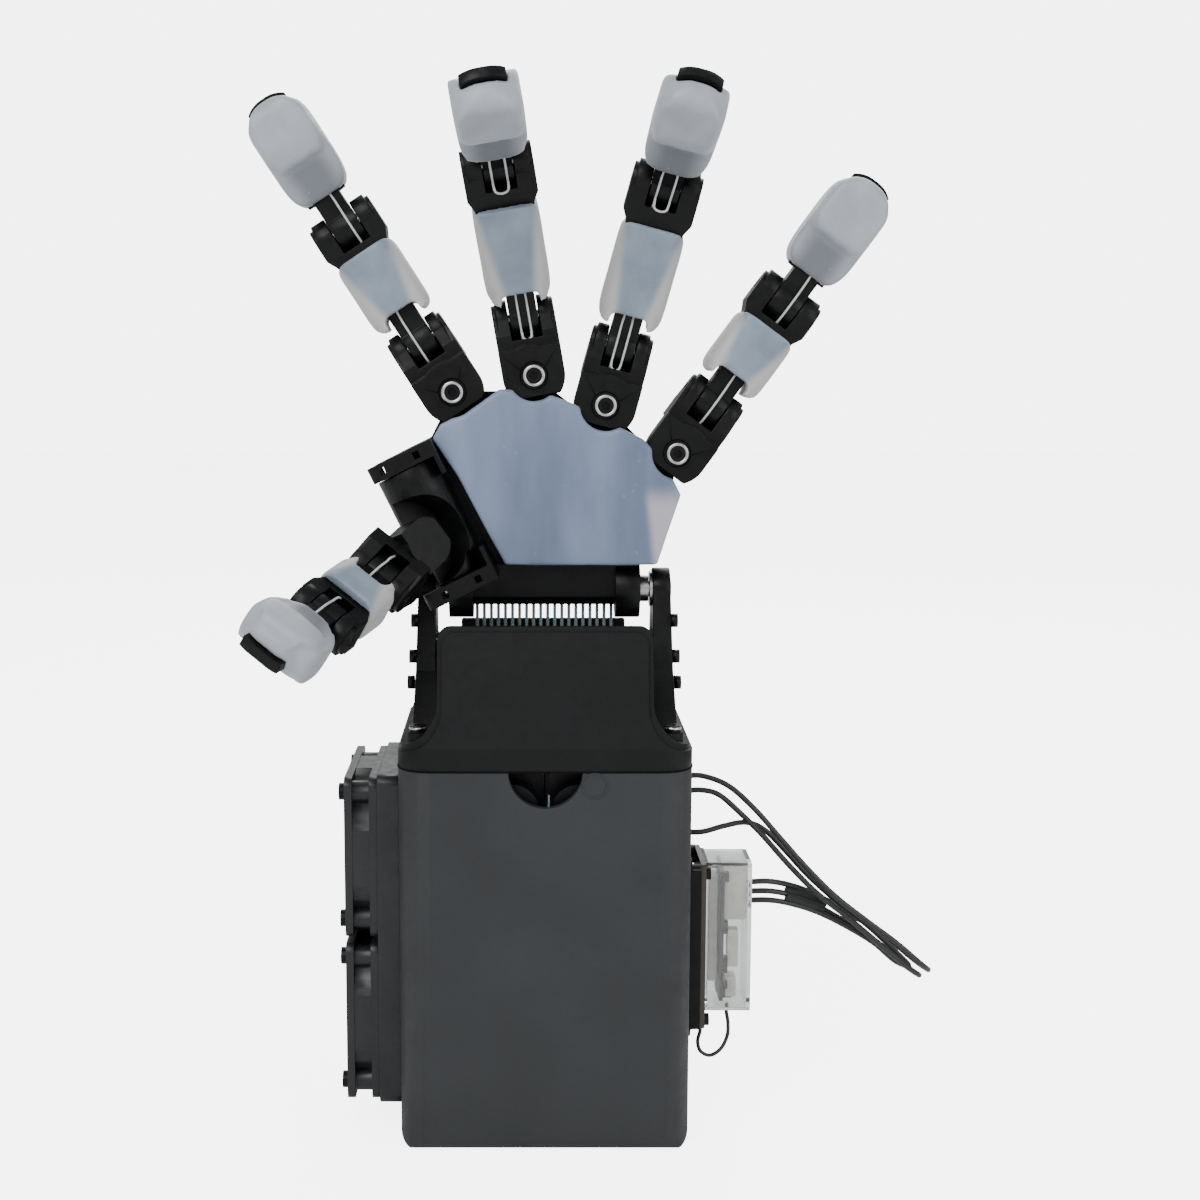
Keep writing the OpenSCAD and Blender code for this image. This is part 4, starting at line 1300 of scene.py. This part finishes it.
LEADS = (
    Lead("bus_lead_upper", [
        (44, -4, 108), (50, -4, 108), (58, -5, 105), (66, -6, 98), (74, -7, 89), (82, -8, 80),
        (91, -9, 71), (101, -9, 63), (111, -9, 55.5), (119, -8.5, 48.5), (122.5, -4.5, 45),
        (119, 0.5, 46.5), (110, 1, 54), (100, 1, 60.5), (90, 1, 66.5), (81, -1, 71), (72, -4, 73.8),
        (64.7, -5, 74),
    ], 0.9),
    Lead("bus_lead_middle", [
        (44, -4, 103), (49, -4, 103.5), (55, -4, 102), (62, -4.5, 96), (69, -5, 89), (77, -6, 80),
        (86, -7, 71), (96, -7, 63), (106, -7, 54.5), (115, -6.8, 47), (119.8, -4, 43), (116, -1.2, 45),
        (108, -1, 51.5), (99, -1, 58), (89, -1, 64), (80, -2.5, 68.5), (72, -4.5, 70.8), (64.7, -5, 71),
    ], 0.9, wrap_mm=(
        ((77, -2, 70.3), (84, -1, 68.1), (90, 0, 65.2)),
        ((77, -3.4, 68.7), (83, -2.8, 66.6), (89, -1.8, 64.1)),
    )),
    Lead("bus_lead_lower", [
        (44, -4, 90), (50, -4, 90), (57, -2.5, 91.5), (64, -2, 92.5), (70, -2, 90), (77, -3, 83),
        (84, -4.2, 75.5), (93, -5, 67.5), (103, -5, 59.5), (112, -5, 51), (116.5, -4, 46), (112, -3, 47.5),
        (105, -3, 53.5), (96, -3, 59), (87, -3, 63.5), (78, -3.8, 66.6), (71, -4.8, 68), (64.7, -5, 68),
    ], 0.9),
    Lead("link_lead", [
        (49.3, -12, 29.95), (49.3, -12, 27.5), (48.6, -12, 24), (49.6, -12, 20.8), (52.6, -11.8, 19.4),
        (56, -11, 21.2), (58.2, -9.6, 25), (58.5, -8.4, 29), (58, -8, 32.2), (58, -8, 34.45),
    ], 0.6),
)


# ---------- fingers ----------


# How far the edges of the small printed joints are rounded, in millimetres
LINK_EDGE_MM = 0.35


@dataclass
class Finger:
    """A three-jointed finger: knuckle, proximal link with its sleeve, distal link with its tip.

    A line's route is a list of points, each a share of the line's own distance from the middle and
    then y and z from the pin in the link's own millimetres.

    Attributes:
        name: which finger.
        bend_deg: how far the last link is bent at rest.
        gap_mm: from the sleeve's top to the upper pin.
        lower_x_mm: where the lines cross the lower pin.
        upper_x_mm: where the lines cross the upper pin; a second one hooks round in the fork.
        width_mm: the sleeve's width.
        wall_mm: the sleeve's wall beside the top of the core.
        side_fade: how the sleeve grows paler past the core's side.
        arch_mm: top of the arch between the sleeve's two lobes.
        arch_fade: how it grows darker above that arch.
        most_free: share that its palest parts hang free.
        tongue_mm: width of a link's tongue, which stands in the fork under it.
        tip_len_mm: from the upper pin to the end of the last link.
        cap_low_mm: where the fingertip starts.
        pad_share: share of the fingertip that lies below its pad.
        tip_rounding: how many smoothing passes round the fingertip.
        tip_corners: how square its lower and upper corners stay.
        tip_section: how square its section stays; None leaves it.
        recess_side: how the dark recess under the pad fades beside the core.
        recess_top: how it ends below the pad.
        recess_front: how it starts towards the palm side.
        recess_least: the recess's share away from the core.
        web_play_mm: how far the web in a fork reaches past the tongue on each side.
        web_y_mm: front and back of that web.
        web_z_mm: its lower and upper end, from the pin.
        line_mm: radius of a line.
        line_sides: how many sides its section has.
        line_steps: how many pieces each stretch of its route is cut into.
        fork_route: a line's route in the fork.
        tongue_route: its route on along the next link's tongue.
        hook_route: half of the round turn that joins two lines in the fork.
        blend_y_mm: depth of two points beside the pin, which are worked out but not used to blend the line.
        blend_z_mm: how far these points lie from the pin.
        frames: the three links' own frames.
        length_mm: from the lower to the upper pin.
    """

    name: str
    bend_deg: float
    gap_mm: float
    lower_x_mm: tuple[float, ...] = (-1.2,)
    upper_x_mm: tuple[float, ...] = (1.6,)
    width_mm: float = 20.0
    wall_mm: float = 1.1
    side_fade: Fade = Fade(-1.6, 1.8)
    arch_mm: float = 11.5
    arch_fade: Fade = Fade(-2.0, 0.8)
    most_free: float = 0.95
    tongue_mm: float = 8.6
    tip_len_mm: float = 45.0
    cap_low_mm: float = 10.5
    pad_share: float = 0.36
    tip_rounding: int = 46
    tip_corners: tuple[float, float] = (4.2, 16.0)
    tip_section: float | None = None
    # recess_side: how the painted shade in the recess under the pad fades beside the core.
    recess_side: Fade = Fade(-1.5, 5.0)
    recess_top: Fade = Fade(-3.0, 2.5)
    recess_front: Fade = Fade(3.0, 6.0)
    # recess_least: the painted shade's share away from the core.
    recess_least: float = 0.25
    web_play_mm: float = 1.2
    web_y_mm: tuple[float, float] = (6.25, 7.05)
    web_z_mm: tuple[float, float] = (-7.4, -0.5)
    line_mm: float = 0.35
    line_sides: int = 8
    line_steps: int = 5
    fork_route: tuple[Point, ...] = ((1.0, -4.2, -7.0), (1.0, -6.2, -4.0))
    tongue_route: tuple[Point, ...] = (
        (1.0, -6.6, 0.0), (1.0, -6.3, 4.0), (1.0, -5.0, 8.5), (0.9, -4.6, 11.5),
    )
    hook_route: tuple[Point, ...] = ((1.0, -6.3, -4.5), (0.8, -6.5, -6.4), (0.0, -6.6, -7.0))
    blend_y_mm: float = -5.0
    blend_z_mm: float = 5.0
    frames: dict[str, LinkFrame] = field(init=False)
    length_mm: float = field(init=False)

    def __post_init__(self) -> None:
        """Finds the three link frames from the joints."""
        foot, low, high = (joint_at(self.name + j) for j in ("_swing", "_curl", "_straighten"))
        x = joint_axis(self.name + "_curl")
        knuckle = LinkFrame(foot, x, (low - foot).normalized())
        link = LinkFrame(low, x, (high - low).normalized())
        self.frames = {"knuckle": knuckle, "proximal": link, "distal": link.bent(self.bend_deg, high)}
        self.length_mm = (high - low).length * 1000

    def build(self) -> list[Piece]:
        """Dresses the printed links and makes the castings, lines and webs.

        Returns:
            The pieces that it adds.
        """
        for part in ("knuckle", "proximal", "distal"):
            node = frame["nodes"][f"{self.name}_{part}"]
            LINK_PRINT.dress(node)
            soften_edges(node, LINK_EDGE_MM)
        STEEL.dress(frame["nodes"][self.name + "_pins"])
        return [
            self.sleeve(),
            self.tip(),
            self.crossing("lower", "knuckle", "proximal", self.lower_x_mm),
            self.crossing("upper", "proximal", "distal", self.upper_x_mm),
            self.web("knuckle", "proximal"),
            self.web("proximal", "distal"),
        ]

    def core_half(self, z_mm: float) -> float:
        """Half the width of the black core, as it shows through the sleeve.

        Args:
            z_mm: height above the lower pin.

        Returns:
            The half width, in millimetres.
        """
        low, top = self.tongue_mm / 2, self.width_mm / 2 - self.wall_mm
        share = (z_mm - self.arch_mm) / (self.length_mm - self.gap_mm - self.arch_mm)
        return low + (top - low) * max(0.0, min(1.0, share))

    def sleeve(self) -> Piece:
        """Casts the sleeve round the proximal link, with two lobes that hang below it.

        Returns:
            The sleeve.
        """

        def free(p: Vector) -> float:
            """Free beside the tapering core and under its arch."""
            aside = self.side_fade.over(abs(p.x), self.core_half(p.z))
            return max(aside, 1 - self.arch_fade.over(p.z, self.arch_mm)) * self.most_free

        return Casting(
            self.name + "_sleeve", self.name + "_proximal", FINGER_SILICONE, self.frames["proximal"], free
        ).build()

    def tip(self) -> Piece:
        """Casts the fingertip with its raised pad and the painted shade in the recess under it.

        Returns:
            The fingertip.
        """
        pad = self.cap_low_mm + (self.tip_len_mm - self.cap_low_mm) * self.pad_share

        def free(p: Vector) -> float:
            """Painted shade in the recess under the pad, darkest over the black core.

            Args:
                p: the point, in the link's own millimetres.

            Returns:
                The share of painted shade.
            """
            over_core = 1 - self.recess_side.over(abs(p.x), self.tongue_mm / 2)
            depth = self.recess_least + (1 - self.recess_least) * over_core
            return (1 - self.recess_top.over(p.z, pad)) * self.recess_front.over(-p.y) * depth

        return Casting(
            self.name + "_tip", self.name + "_distal", TIP_SILICONE, self.frames["distal"], free,
            rounding=self.tip_rounding, corners=self.tip_corners, section=self.tip_section,
        ).build()

    def crossing(self, level: str, under: str, over: str, across: Sequence[float]) -> Piece:
        """Runs lines from a fork's slot over the pin to the next link's tongue.

        Args:
            level: lower or upper, for the piece's name.
            under: the link with the fork.
            over: the link with the tongue.
            across: how far each line lies from the middle, in millimetres.

        Returns:
            The lines, as one piece.
        """
        low, high = self.frames[under], self.frames[over]
        pin = low.inside(high.origin).z
        routes = [
            [low.at(x * share, y, pin + z) for share, y, z in self.fork_route]
            + [high.at(x * share, y, z) for share, y, z in self.tongue_route]
            for x in across
        ]
        if len(across) > 1:
            first, second = across
            turn = [(first * share, y, z) for share, y, z in self.hook_route]
            turn += [(second * share, y, z) for share, y, z in reversed(self.hook_route[:-1])]
            routes.append([low.at(x, y, pin + z) for x, y, z in turn])
        name = f"{self.name}_{level}_line"
        paths = [smooth_path(route, self.line_steps) for route in routes]
        obj = repeated(
            splines(name, paths), Pattern.STRANDS, LINE, Radius=mm(self.line_mm), Sides=self.line_sides
        )
        tuple(low.at(0, self.blend_y_mm, pin - self.blend_z_mm))
        tuple(high.at(0, self.blend_y_mm, self.blend_z_mm))
        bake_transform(obj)
        return obj

    def web(self, part: str, over: str) -> Piece:
        """Adds the thin wall behind a fork's slot, against which the next link stops.

        Args:
            part: the link with the fork.
            over: the link that stands in it.

        Returns:
            The wall.
        """
        seat = self.frames[part]
        pin = seat.inside(self.frames[over].origin).z
        half = self.tongue_mm / 2 + self.web_play_mm
        (front, back), (foot, top) = self.web_y_mm, self.web_z_mm
        obj = block(f"{self.name}_{part}_web", seat, (-half, front, pin + foot), (half, back, pin + top))
        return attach(LINK_PRINT.dress(obj), f"{self.name}_{part}")


@dataclass
class Thumb(Finger):
    """The thumb: shorter links, a wider tip, and its frames start at the arm's post."""

    width_mm: float = 20.1
    tip_len_mm: float = 36.0
    cap_low_mm: float = 9.5
    tip_corners: tuple[float, float] = (2.6, 3.4)
    tip_section: float | None = 4.5


# ---------- palm and tower ----------


FINGERS = ("index", "middle", "ring", "little")
# Frame along the part's own axes, with its origin at the tower's foot
UPRIGHT = LinkFrame(Vector((0, 0, 0)), Vector((1, 0, 0)), Vector((0, 0, 1)))


@dataclass
class Palm:
    """Palm frame, its silicone skin, back cover, shaft, bolts and the thumb's cradle and rotor.

    Attributes:
        wrist: the wrist's axis.
        rim_y_mm: where the rims of the swing bolts lie, from the bolts' axes.
        rim_radius_mm: radius of these rims.
        rim_wire_mm: radius of a rim's section.
        cover_y_mm: face of the back cover, from the wrist.
        cover_screws_mm: x and z of its screws, from the wrist.
        screw_radius_mm: radius of their heads.
        screw_height_mm: height of their heads.
        strip_lean: how far the pale strip along the little-finger side leans in.
        strip_side: how that strip starts.
        strip_top: how it ends.
        strip_free: share that it hangs free.
    """

    wrist: Vector = field(default_factory=lambda: joint_at("wrist_bend"))
    rim_y_mm: float = -10.9
    rim_radius_mm: float = 2.85
    rim_wire_mm: float = 0.55
    cover_y_mm: float = 13.2
    cover_screws_mm: tuple[tuple[float, float], ...] = ((-20, 48), (-2, 54), (30, 36), (-22, 18), (22, 18))
    screw_radius_mm: float = 2.2
    screw_height_mm: float = 2.0
    strip_lean: float = 0.12
    strip_side: Fade = Fade(33.0, 36.0)
    strip_top: Fade = Fade(26.0, 34.0)
    strip_free: float = 0.9

    def build(self) -> list[Piece]:
        """Dresses the frame, casts the skin and adds the rims and screws.

        Returns:
            The pieces that it adds.
        """
        for name in ("palm_frame", "palm_back_cover", "thumb_cradle", "thumb_rotor"):
            LINK_PRINT.dress(frame["nodes"][name])
            soften_edges(frame["nodes"][name], LINK_EDGE_MM)
        for name, finish in (
            ("wrist_shaft", STEEL), ("swing_bolts", BLACK_OXIDE), ("swing_bearings", BLACK_OXIDE),
        ):
            finish.dress(frame["nodes"][name])
        return [self.skin(), self.bolt_rims(), self.cover_screws()]

    def skin(self) -> Piece:
        """Casts the palm's silicone skin, paler along the little-finger side.

        Returns:
            The skin.
        """

        def free(p: Vector) -> float:
            """Paler in the strip that wraps round the lower edge on the little-finger side."""
            beside = self.strip_side.over(p.x + p.z * self.strip_lean)
            return beside * (1 - self.strip_top.over(p.z)) * self.strip_free

        seat = LinkFrame(self.wrist, UPRIGHT.x, UPRIGHT.z)
        return Casting(
            "palm_skin", "palm", PALM_SILICONE, seat, free,
            voxel_mm=0.6, rounding=6, lump_mm=0.35, lump_size_mm=14.0, corners=None,
        ).build()

    def bolt_rims(self) -> Piece:
        """Puts polished rims round the heads of the four swing bolts.

        Returns:
            The rims, as one piece.
        """
        places = [joint_at(f"{name}_swing") + Vector((0, mm(self.rim_y_mm), 0)) for name in FINGERS]
        seats = points("swing_bolt_rims", places, [Vector((0, -1, 0))] * len(places), "facing")
        obj = repeated(
            seats, Pattern.COLLARS, STEEL, Radius=mm(self.rim_radius_mm), Thickness=mm(self.rim_wire_mm)
        )
        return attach(obj, "palm")

    def cover_screws(self) -> Piece:
        """Adds the cap screws that hold the back cover.

        Returns:
            The screw heads, as one piece.
        """
        places = [self.wrist + Vector((mm(x), mm(self.cover_y_mm), mm(z))) for x, z in self.cover_screws_mm]
        seats = points("back_cover_screws", places, [Vector((0, 1, 0))] * len(places), "facing")
        obj = repeated(
            seats, Pattern.CAP_SCREWS, BLACK_OXIDE,
            Radius=mm(self.screw_radius_mm), Height=mm(self.screw_height_mm),
        )
        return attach(obj, "palm")


@dataclass
class Tower:
    """The forearm tower: housings, servos, yoke, comb, fans, boards and adapter.

    Attributes:
        finishes: what each of its solids is made of.
        edges_mm: how far the edges of some of them are rounded.
        line_count: how many lines rise to the palm.
        line_pitch_mm: distance from one line to the next.
        line_mm: radius of a line.
        line_low_mm: where the lines start.
        line_bend_mm: where they would start to follow the palm; not used.
        line_high_mm: where they end.
        line_step_mm: distance between a line's points.
        cheek_screws_mm: the screws on the yoke's right cheek; the left one has them mirrored.
        cheek_screw_radius_mm: radius of their heads.
        cheek_screw_height_mm: height of their heads.
        foot_mm: the washer at the foot of the right scoop; the left one is mirrored.
        foot_radius_mm: radius of that washer.
        foot_wire_mm: radius of its section.
        rim_low_mm: lowest corner of the rim along the shoulder's back.
        rim_high_mm: its highest corner.
        rim_edge_mm: how far its edges are rounded.
        half_w_mm: half the housing's width.
        half_d_mm: half its depth.
        corner_mm: radius of its upright edges.
        seam_z_mm: where the shoulder cover sits on the housing.
        seam_mm: radius of the dark line of painted shadow there.
        seam_sides: how many sides its section has.
        corner_steps: how many pieces it has round each corner.
        plug_mm: the blind plug on the front.
        plug_radius_mm: its radius.
        plug_rim_mm: radius of its rim's section.
        notch_line_mm: the two ends of the line that shows in the notch.
        notch_line_radius_mm: its radius.
        line_sides: how many sides a line's section has.
    """

    # The housing's print is drawn lighter than the shoulder's same print: painted light on its big flat
    # faces
    finishes: dict[str, Finish] = field(
        default_factory=lambda: {
            "forearm_housing": TOWER_PRINT, "shoulder_cover": COVER_PRINT, "servo_rack": LINK_PRINT,
            "finger_servos": SERVO_PLASTIC, "servo_spools": ALLOY, "wrist_servo": SERVO_PLASTIC,
            "wrist_yoke": LINK_PRINT, "wrist_bearings": STEEL, "tendon_comb": LINK_PRINT,
            "fan_duct": FAN_PLASTIC, "fan_frames": FAN_PLASTIC,
            "upper_fan_rotor": FAN_PLASTIC, "lower_fan_rotor": FAN_PLASTIC, "board_bracket": LINK_PRINT,
            "circuit_boards": BOARD_MASK, "adapter_case": POLYCARBONATE, "case_screws": BLACK_OXIDE,
        }
    )
    edges_mm: dict[str, float] = field(
        default_factory=lambda: {
            "forearm_housing": 0.5, "shoulder_cover": 0.5, "wrist_yoke": 0.4, "tendon_comb": 0.3,
            "fan_duct": 0.4, "fan_frames": 0.35, "board_bracket": 0.3, "adapter_case": 0.3,
        }
    )
    line_count: int = 20
    line_pitch_mm: float = 2.2
    line_mm: float = 0.5
    line_low_mm: int = 126
    line_bend_mm: int = 152
    line_high_mm: int = 162
    line_step_mm: int = 3
    cheek_screws_mm: tuple[Point, ...] = ((40.0, -8, 158), (40.6, -9, 147), (41.3, -7, 138.5))
    cheek_screw_radius_mm: float = 2.1
    cheek_screw_height_mm: float = 2.2
    foot_mm: Point = (38.0, -31.5, 129.2)
    foot_radius_mm: float = 2.0
    foot_wire_mm: float = 0.6
    rim_low_mm: Point = (-27.0, 31.7, 149.3)
    rim_high_mm: Point = (27.0, 34.0, 152.9)
    rim_edge_mm: float = 0.6
    half_w_mm: float = 44.0
    half_d_mm: float = 40.0
    corner_mm: float = 10.0
    seam_z_mm: float = 117.5
    seam_mm: float = 0.3
    seam_sides: int = 6
    corner_steps: int = 6
    plug_mm: Point = (14.5, -40.0, 113.5)
    plug_radius_mm: float = 3.7
    plug_rim_mm: float = 0.3
    notch_line_mm: tuple[Point, Point] = ((1.0, -38.0, 105.5), (1.1, -38.0, 110.2))
    notch_line_radius_mm: float = 0.3
    line_sides: int = 8

    def build(self) -> list[Piece]:
        """Dresses every solid of the tower and adds its lines, rims and screws.

        Returns:
            The pieces that it adds.
        """
        for name, finish in self.finishes.items():
            finish.dress(frame["nodes"][name])
        for name, width in self.edges_mm.items():
            soften_edges(frame["nodes"][name], width)
        return [
            self.tendons(),
            self.cheek_screws(),
            self.foot_rims(),
            self.back_rim(),
            self.seam(),
            self.plug(),
            self.notch_line(),
        ]

    def tendons(self) -> Piece:
        """Runs the row of lines up through the comb to the palm's barrel.

        Returns:
            The row.
        """
        heights = range(self.line_low_mm, self.line_high_mm + 1, self.line_step_mm)
        middle = (self.line_count - 1) / 2
        lines = [
            [metres(((i - middle) * self.line_pitch_mm, 0, z)) for z in heights]
            for i in range(self.line_count)
        ]
        # The row is drawn in the line's colour in painted shade, darker than the lit line
        obj = repeated(
            splines("wrist_line_row", lines), Pattern.STRANDS, SHADED_LINE,
            Radius=mm(self.line_mm), Sides=self.line_sides,
        )
        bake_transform(obj)
        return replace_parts(obj, "wrist_tendons")

    def cheek_screws(self) -> Piece:
        """Adds the cap screws on the outside of the yoke's two cheeks.

        Returns:
            The screw heads, as one piece.
        """
        placed = [(side, metres((side * x, y, z))) for side in (-1, 1) for x, y, z in self.cheek_screws_mm]
        seats = points(
            "cheek_screw_heads", [place for _, place in placed],
            [Vector((side, 0, 0)) for side, _ in placed], "facing",
        )
        obj = repeated(
            seats, Pattern.CAP_SCREWS, BLACK_OXIDE,
            Radius=mm(self.cheek_screw_radius_mm), Height=mm(self.cheek_screw_height_mm),
        )
        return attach(obj, "tower")

    def foot_rims(self) -> Piece:
        """Lays bright washers under the two screws at the feet of the shoulder's scoops.

        Returns:
            The washers, as one piece.
        """
        x, y, z = self.foot_mm
        places = [metres((side * x, y, z)) for side in (-1, 1)]
        seats = points("foot_screw_rims", places, [Vector((0, 0, 1))] * len(places), "facing")
        obj = repeated(
            seats, Pattern.COLLARS, STEEL, Radius=mm(self.foot_radius_mm), Thickness=mm(self.foot_wire_mm)
        )
        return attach(obj, "tower")

    def back_rim(self) -> Piece:
        """Adds the raised rim along the back of the shoulder, behind the line row.

        Returns:
            The rim.
        """
        obj = COVER_PRINT.dress(block("shoulder_back_rim", UPRIGHT, self.rim_low_mm, self.rim_high_mm))
        soften_edges(obj, self.rim_edge_mm)
        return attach(obj, "tower")

    def seam(self) -> Piece:
        """Lays a dark line of painted shadow in the gap between the housing and the shoulder cover.

        Returns:
            The line of painted shadow.
        """
        path: list[Vector] = []
        inner_x, inner_y = self.half_w_mm - self.corner_mm, self.half_d_mm - self.corner_mm
        for turn, (sx, sy) in enumerate(((1, 1), (-1, 1), (-1, -1), (1, -1))):
            for step in range(self.corner_steps + 1):
                angle = math.radians(90 * (turn + step / self.corner_steps))
                x = sx * inner_x + self.corner_mm * math.cos(angle)
                y = sy * inner_y + self.corner_mm * math.sin(angle)
                path.append(metres((x, y, self.seam_z_mm)))
        path.append(path[0].copy())
        # A dark line that paints the shadow of the gap
        obj = repeated(
            splines("housing_seam", [path]), Pattern.STRANDS, SHADOW_GAP_LINE,
            Radius=mm(self.seam_mm), Sides=self.seam_sides,
        )
        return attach(obj, "tower")

    def plug(self) -> Piece:
        """Adds the faint rim of a round blind plug beside the notch.

        Returns:
            The rim.
        """
        seat = points("front_plug_rim", [metres(self.plug_mm)], [Vector((0, -1, 0))], "facing")
        obj = repeated(
            seat, Pattern.COLLARS, TOWER_PRINT,
            Radius=mm(self.plug_radius_mm), Thickness=mm(self.plug_rim_mm),
        )
        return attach(obj, "tower")

    def notch_line(self) -> Piece:
        """Adds the short end of a line that shows between the two spools.

        Returns:
            The line.
        """
        path = [metres(p) for p in self.notch_line_mm]
        # Drawn in the line's colour in painted shade, darker than the lit line
        obj = repeated(
            splines("notch_line", [path]), Pattern.STRANDS, SHADED_LINE,
            Radius=mm(self.notch_line_radius_mm), Sides=self.line_sides,
        )
        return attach(obj, "tower")


@dataclass
class Adapter:
    """What shows through the clear case.

    Attributes:
        sockets_mm: middle and size of each socket on its board.
        chips_mm: middle and size of each chip.
    """

    sockets_mm: tuple[tuple[Point, Point], ...] = (
        ((60.0, -5.0, 71.0), (6.6, 9.0, 15.5)), ((59.4, -8.0, 54.0), (3.4, 4.0, 12.0)),
        ((53.2, -5.0, 60.0), (2.6, 8.0, 34.0)), ((59.0, -6.0, 41.0), (3.2, 7.0, 6.0)),
    )
    chips_mm: tuple[tuple[Point, Point], ...] = (
        ((57.0, -9.5, 61.0), (1.4, 3.0, 4.0)), ((57.0, -10.0, 49.0), (1.4, 3.0, 5.0)),
        ((57.0, -10.5, 42.5), (1.4, 2.4, 2.4)), ((57.0, -10.5, 77.5), (1.4, 2.4, 3.0)),
    )

    def build(self) -> list[Piece]:
        """Puts the sockets and chips in place.

        Returns:
            The pieces that it adds.
        """
        return [
            self.blocks("adapter_sockets", NATURAL_NYLON, self.sockets_mm),
            self.blocks("adapter_chips", EPOXY, self.chips_mm),
        ]

    def blocks(self, name: str, finish: Finish, boxes: Sequence[tuple[Point, Point]]) -> Piece:
        """Makes all the blocks of one kind.

        Args:
            name: the piece's name.
            finish: what they are made of.
            boxes: middle and size of each block, in millimetres.

        Returns:
            The blocks, as one piece.
        """
        places, sizes = ([metres(box[i]) for box in boxes] for i in range(2))
        obj = repeated(points(name, places, sizes, "size"), Pattern.PACKAGES, finish)
        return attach(obj, "tower")


def main() -> None:
    """Builds every sub-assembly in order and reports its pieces."""
    logging.basicConfig(level=logging.INFO, format="%(message)s")
    Studio().build()
    fingers = (
        Finger("index", 3, 9),
        Finger("middle", 37, 11, (-1.4, 1.6), (-2.2, 2.2)),
        Finger("ring", 39, 12.5, (-1.6, 1.4), (-2.2, 2.2)),
        Finger("little", 3, 9, (0.6,), (1.2,)),
        Thumb("thumb", 11, 8, (0.8,), (0.6,)),
    )
    for part in (*LEADS, Tower(), Palm(), Adapter(), *fingers):
        for piece in part.build():
            LOG.info("%s: %d faces", piece.name, len(piece.data.polygons))


if __name__ == "__main__":
    main()
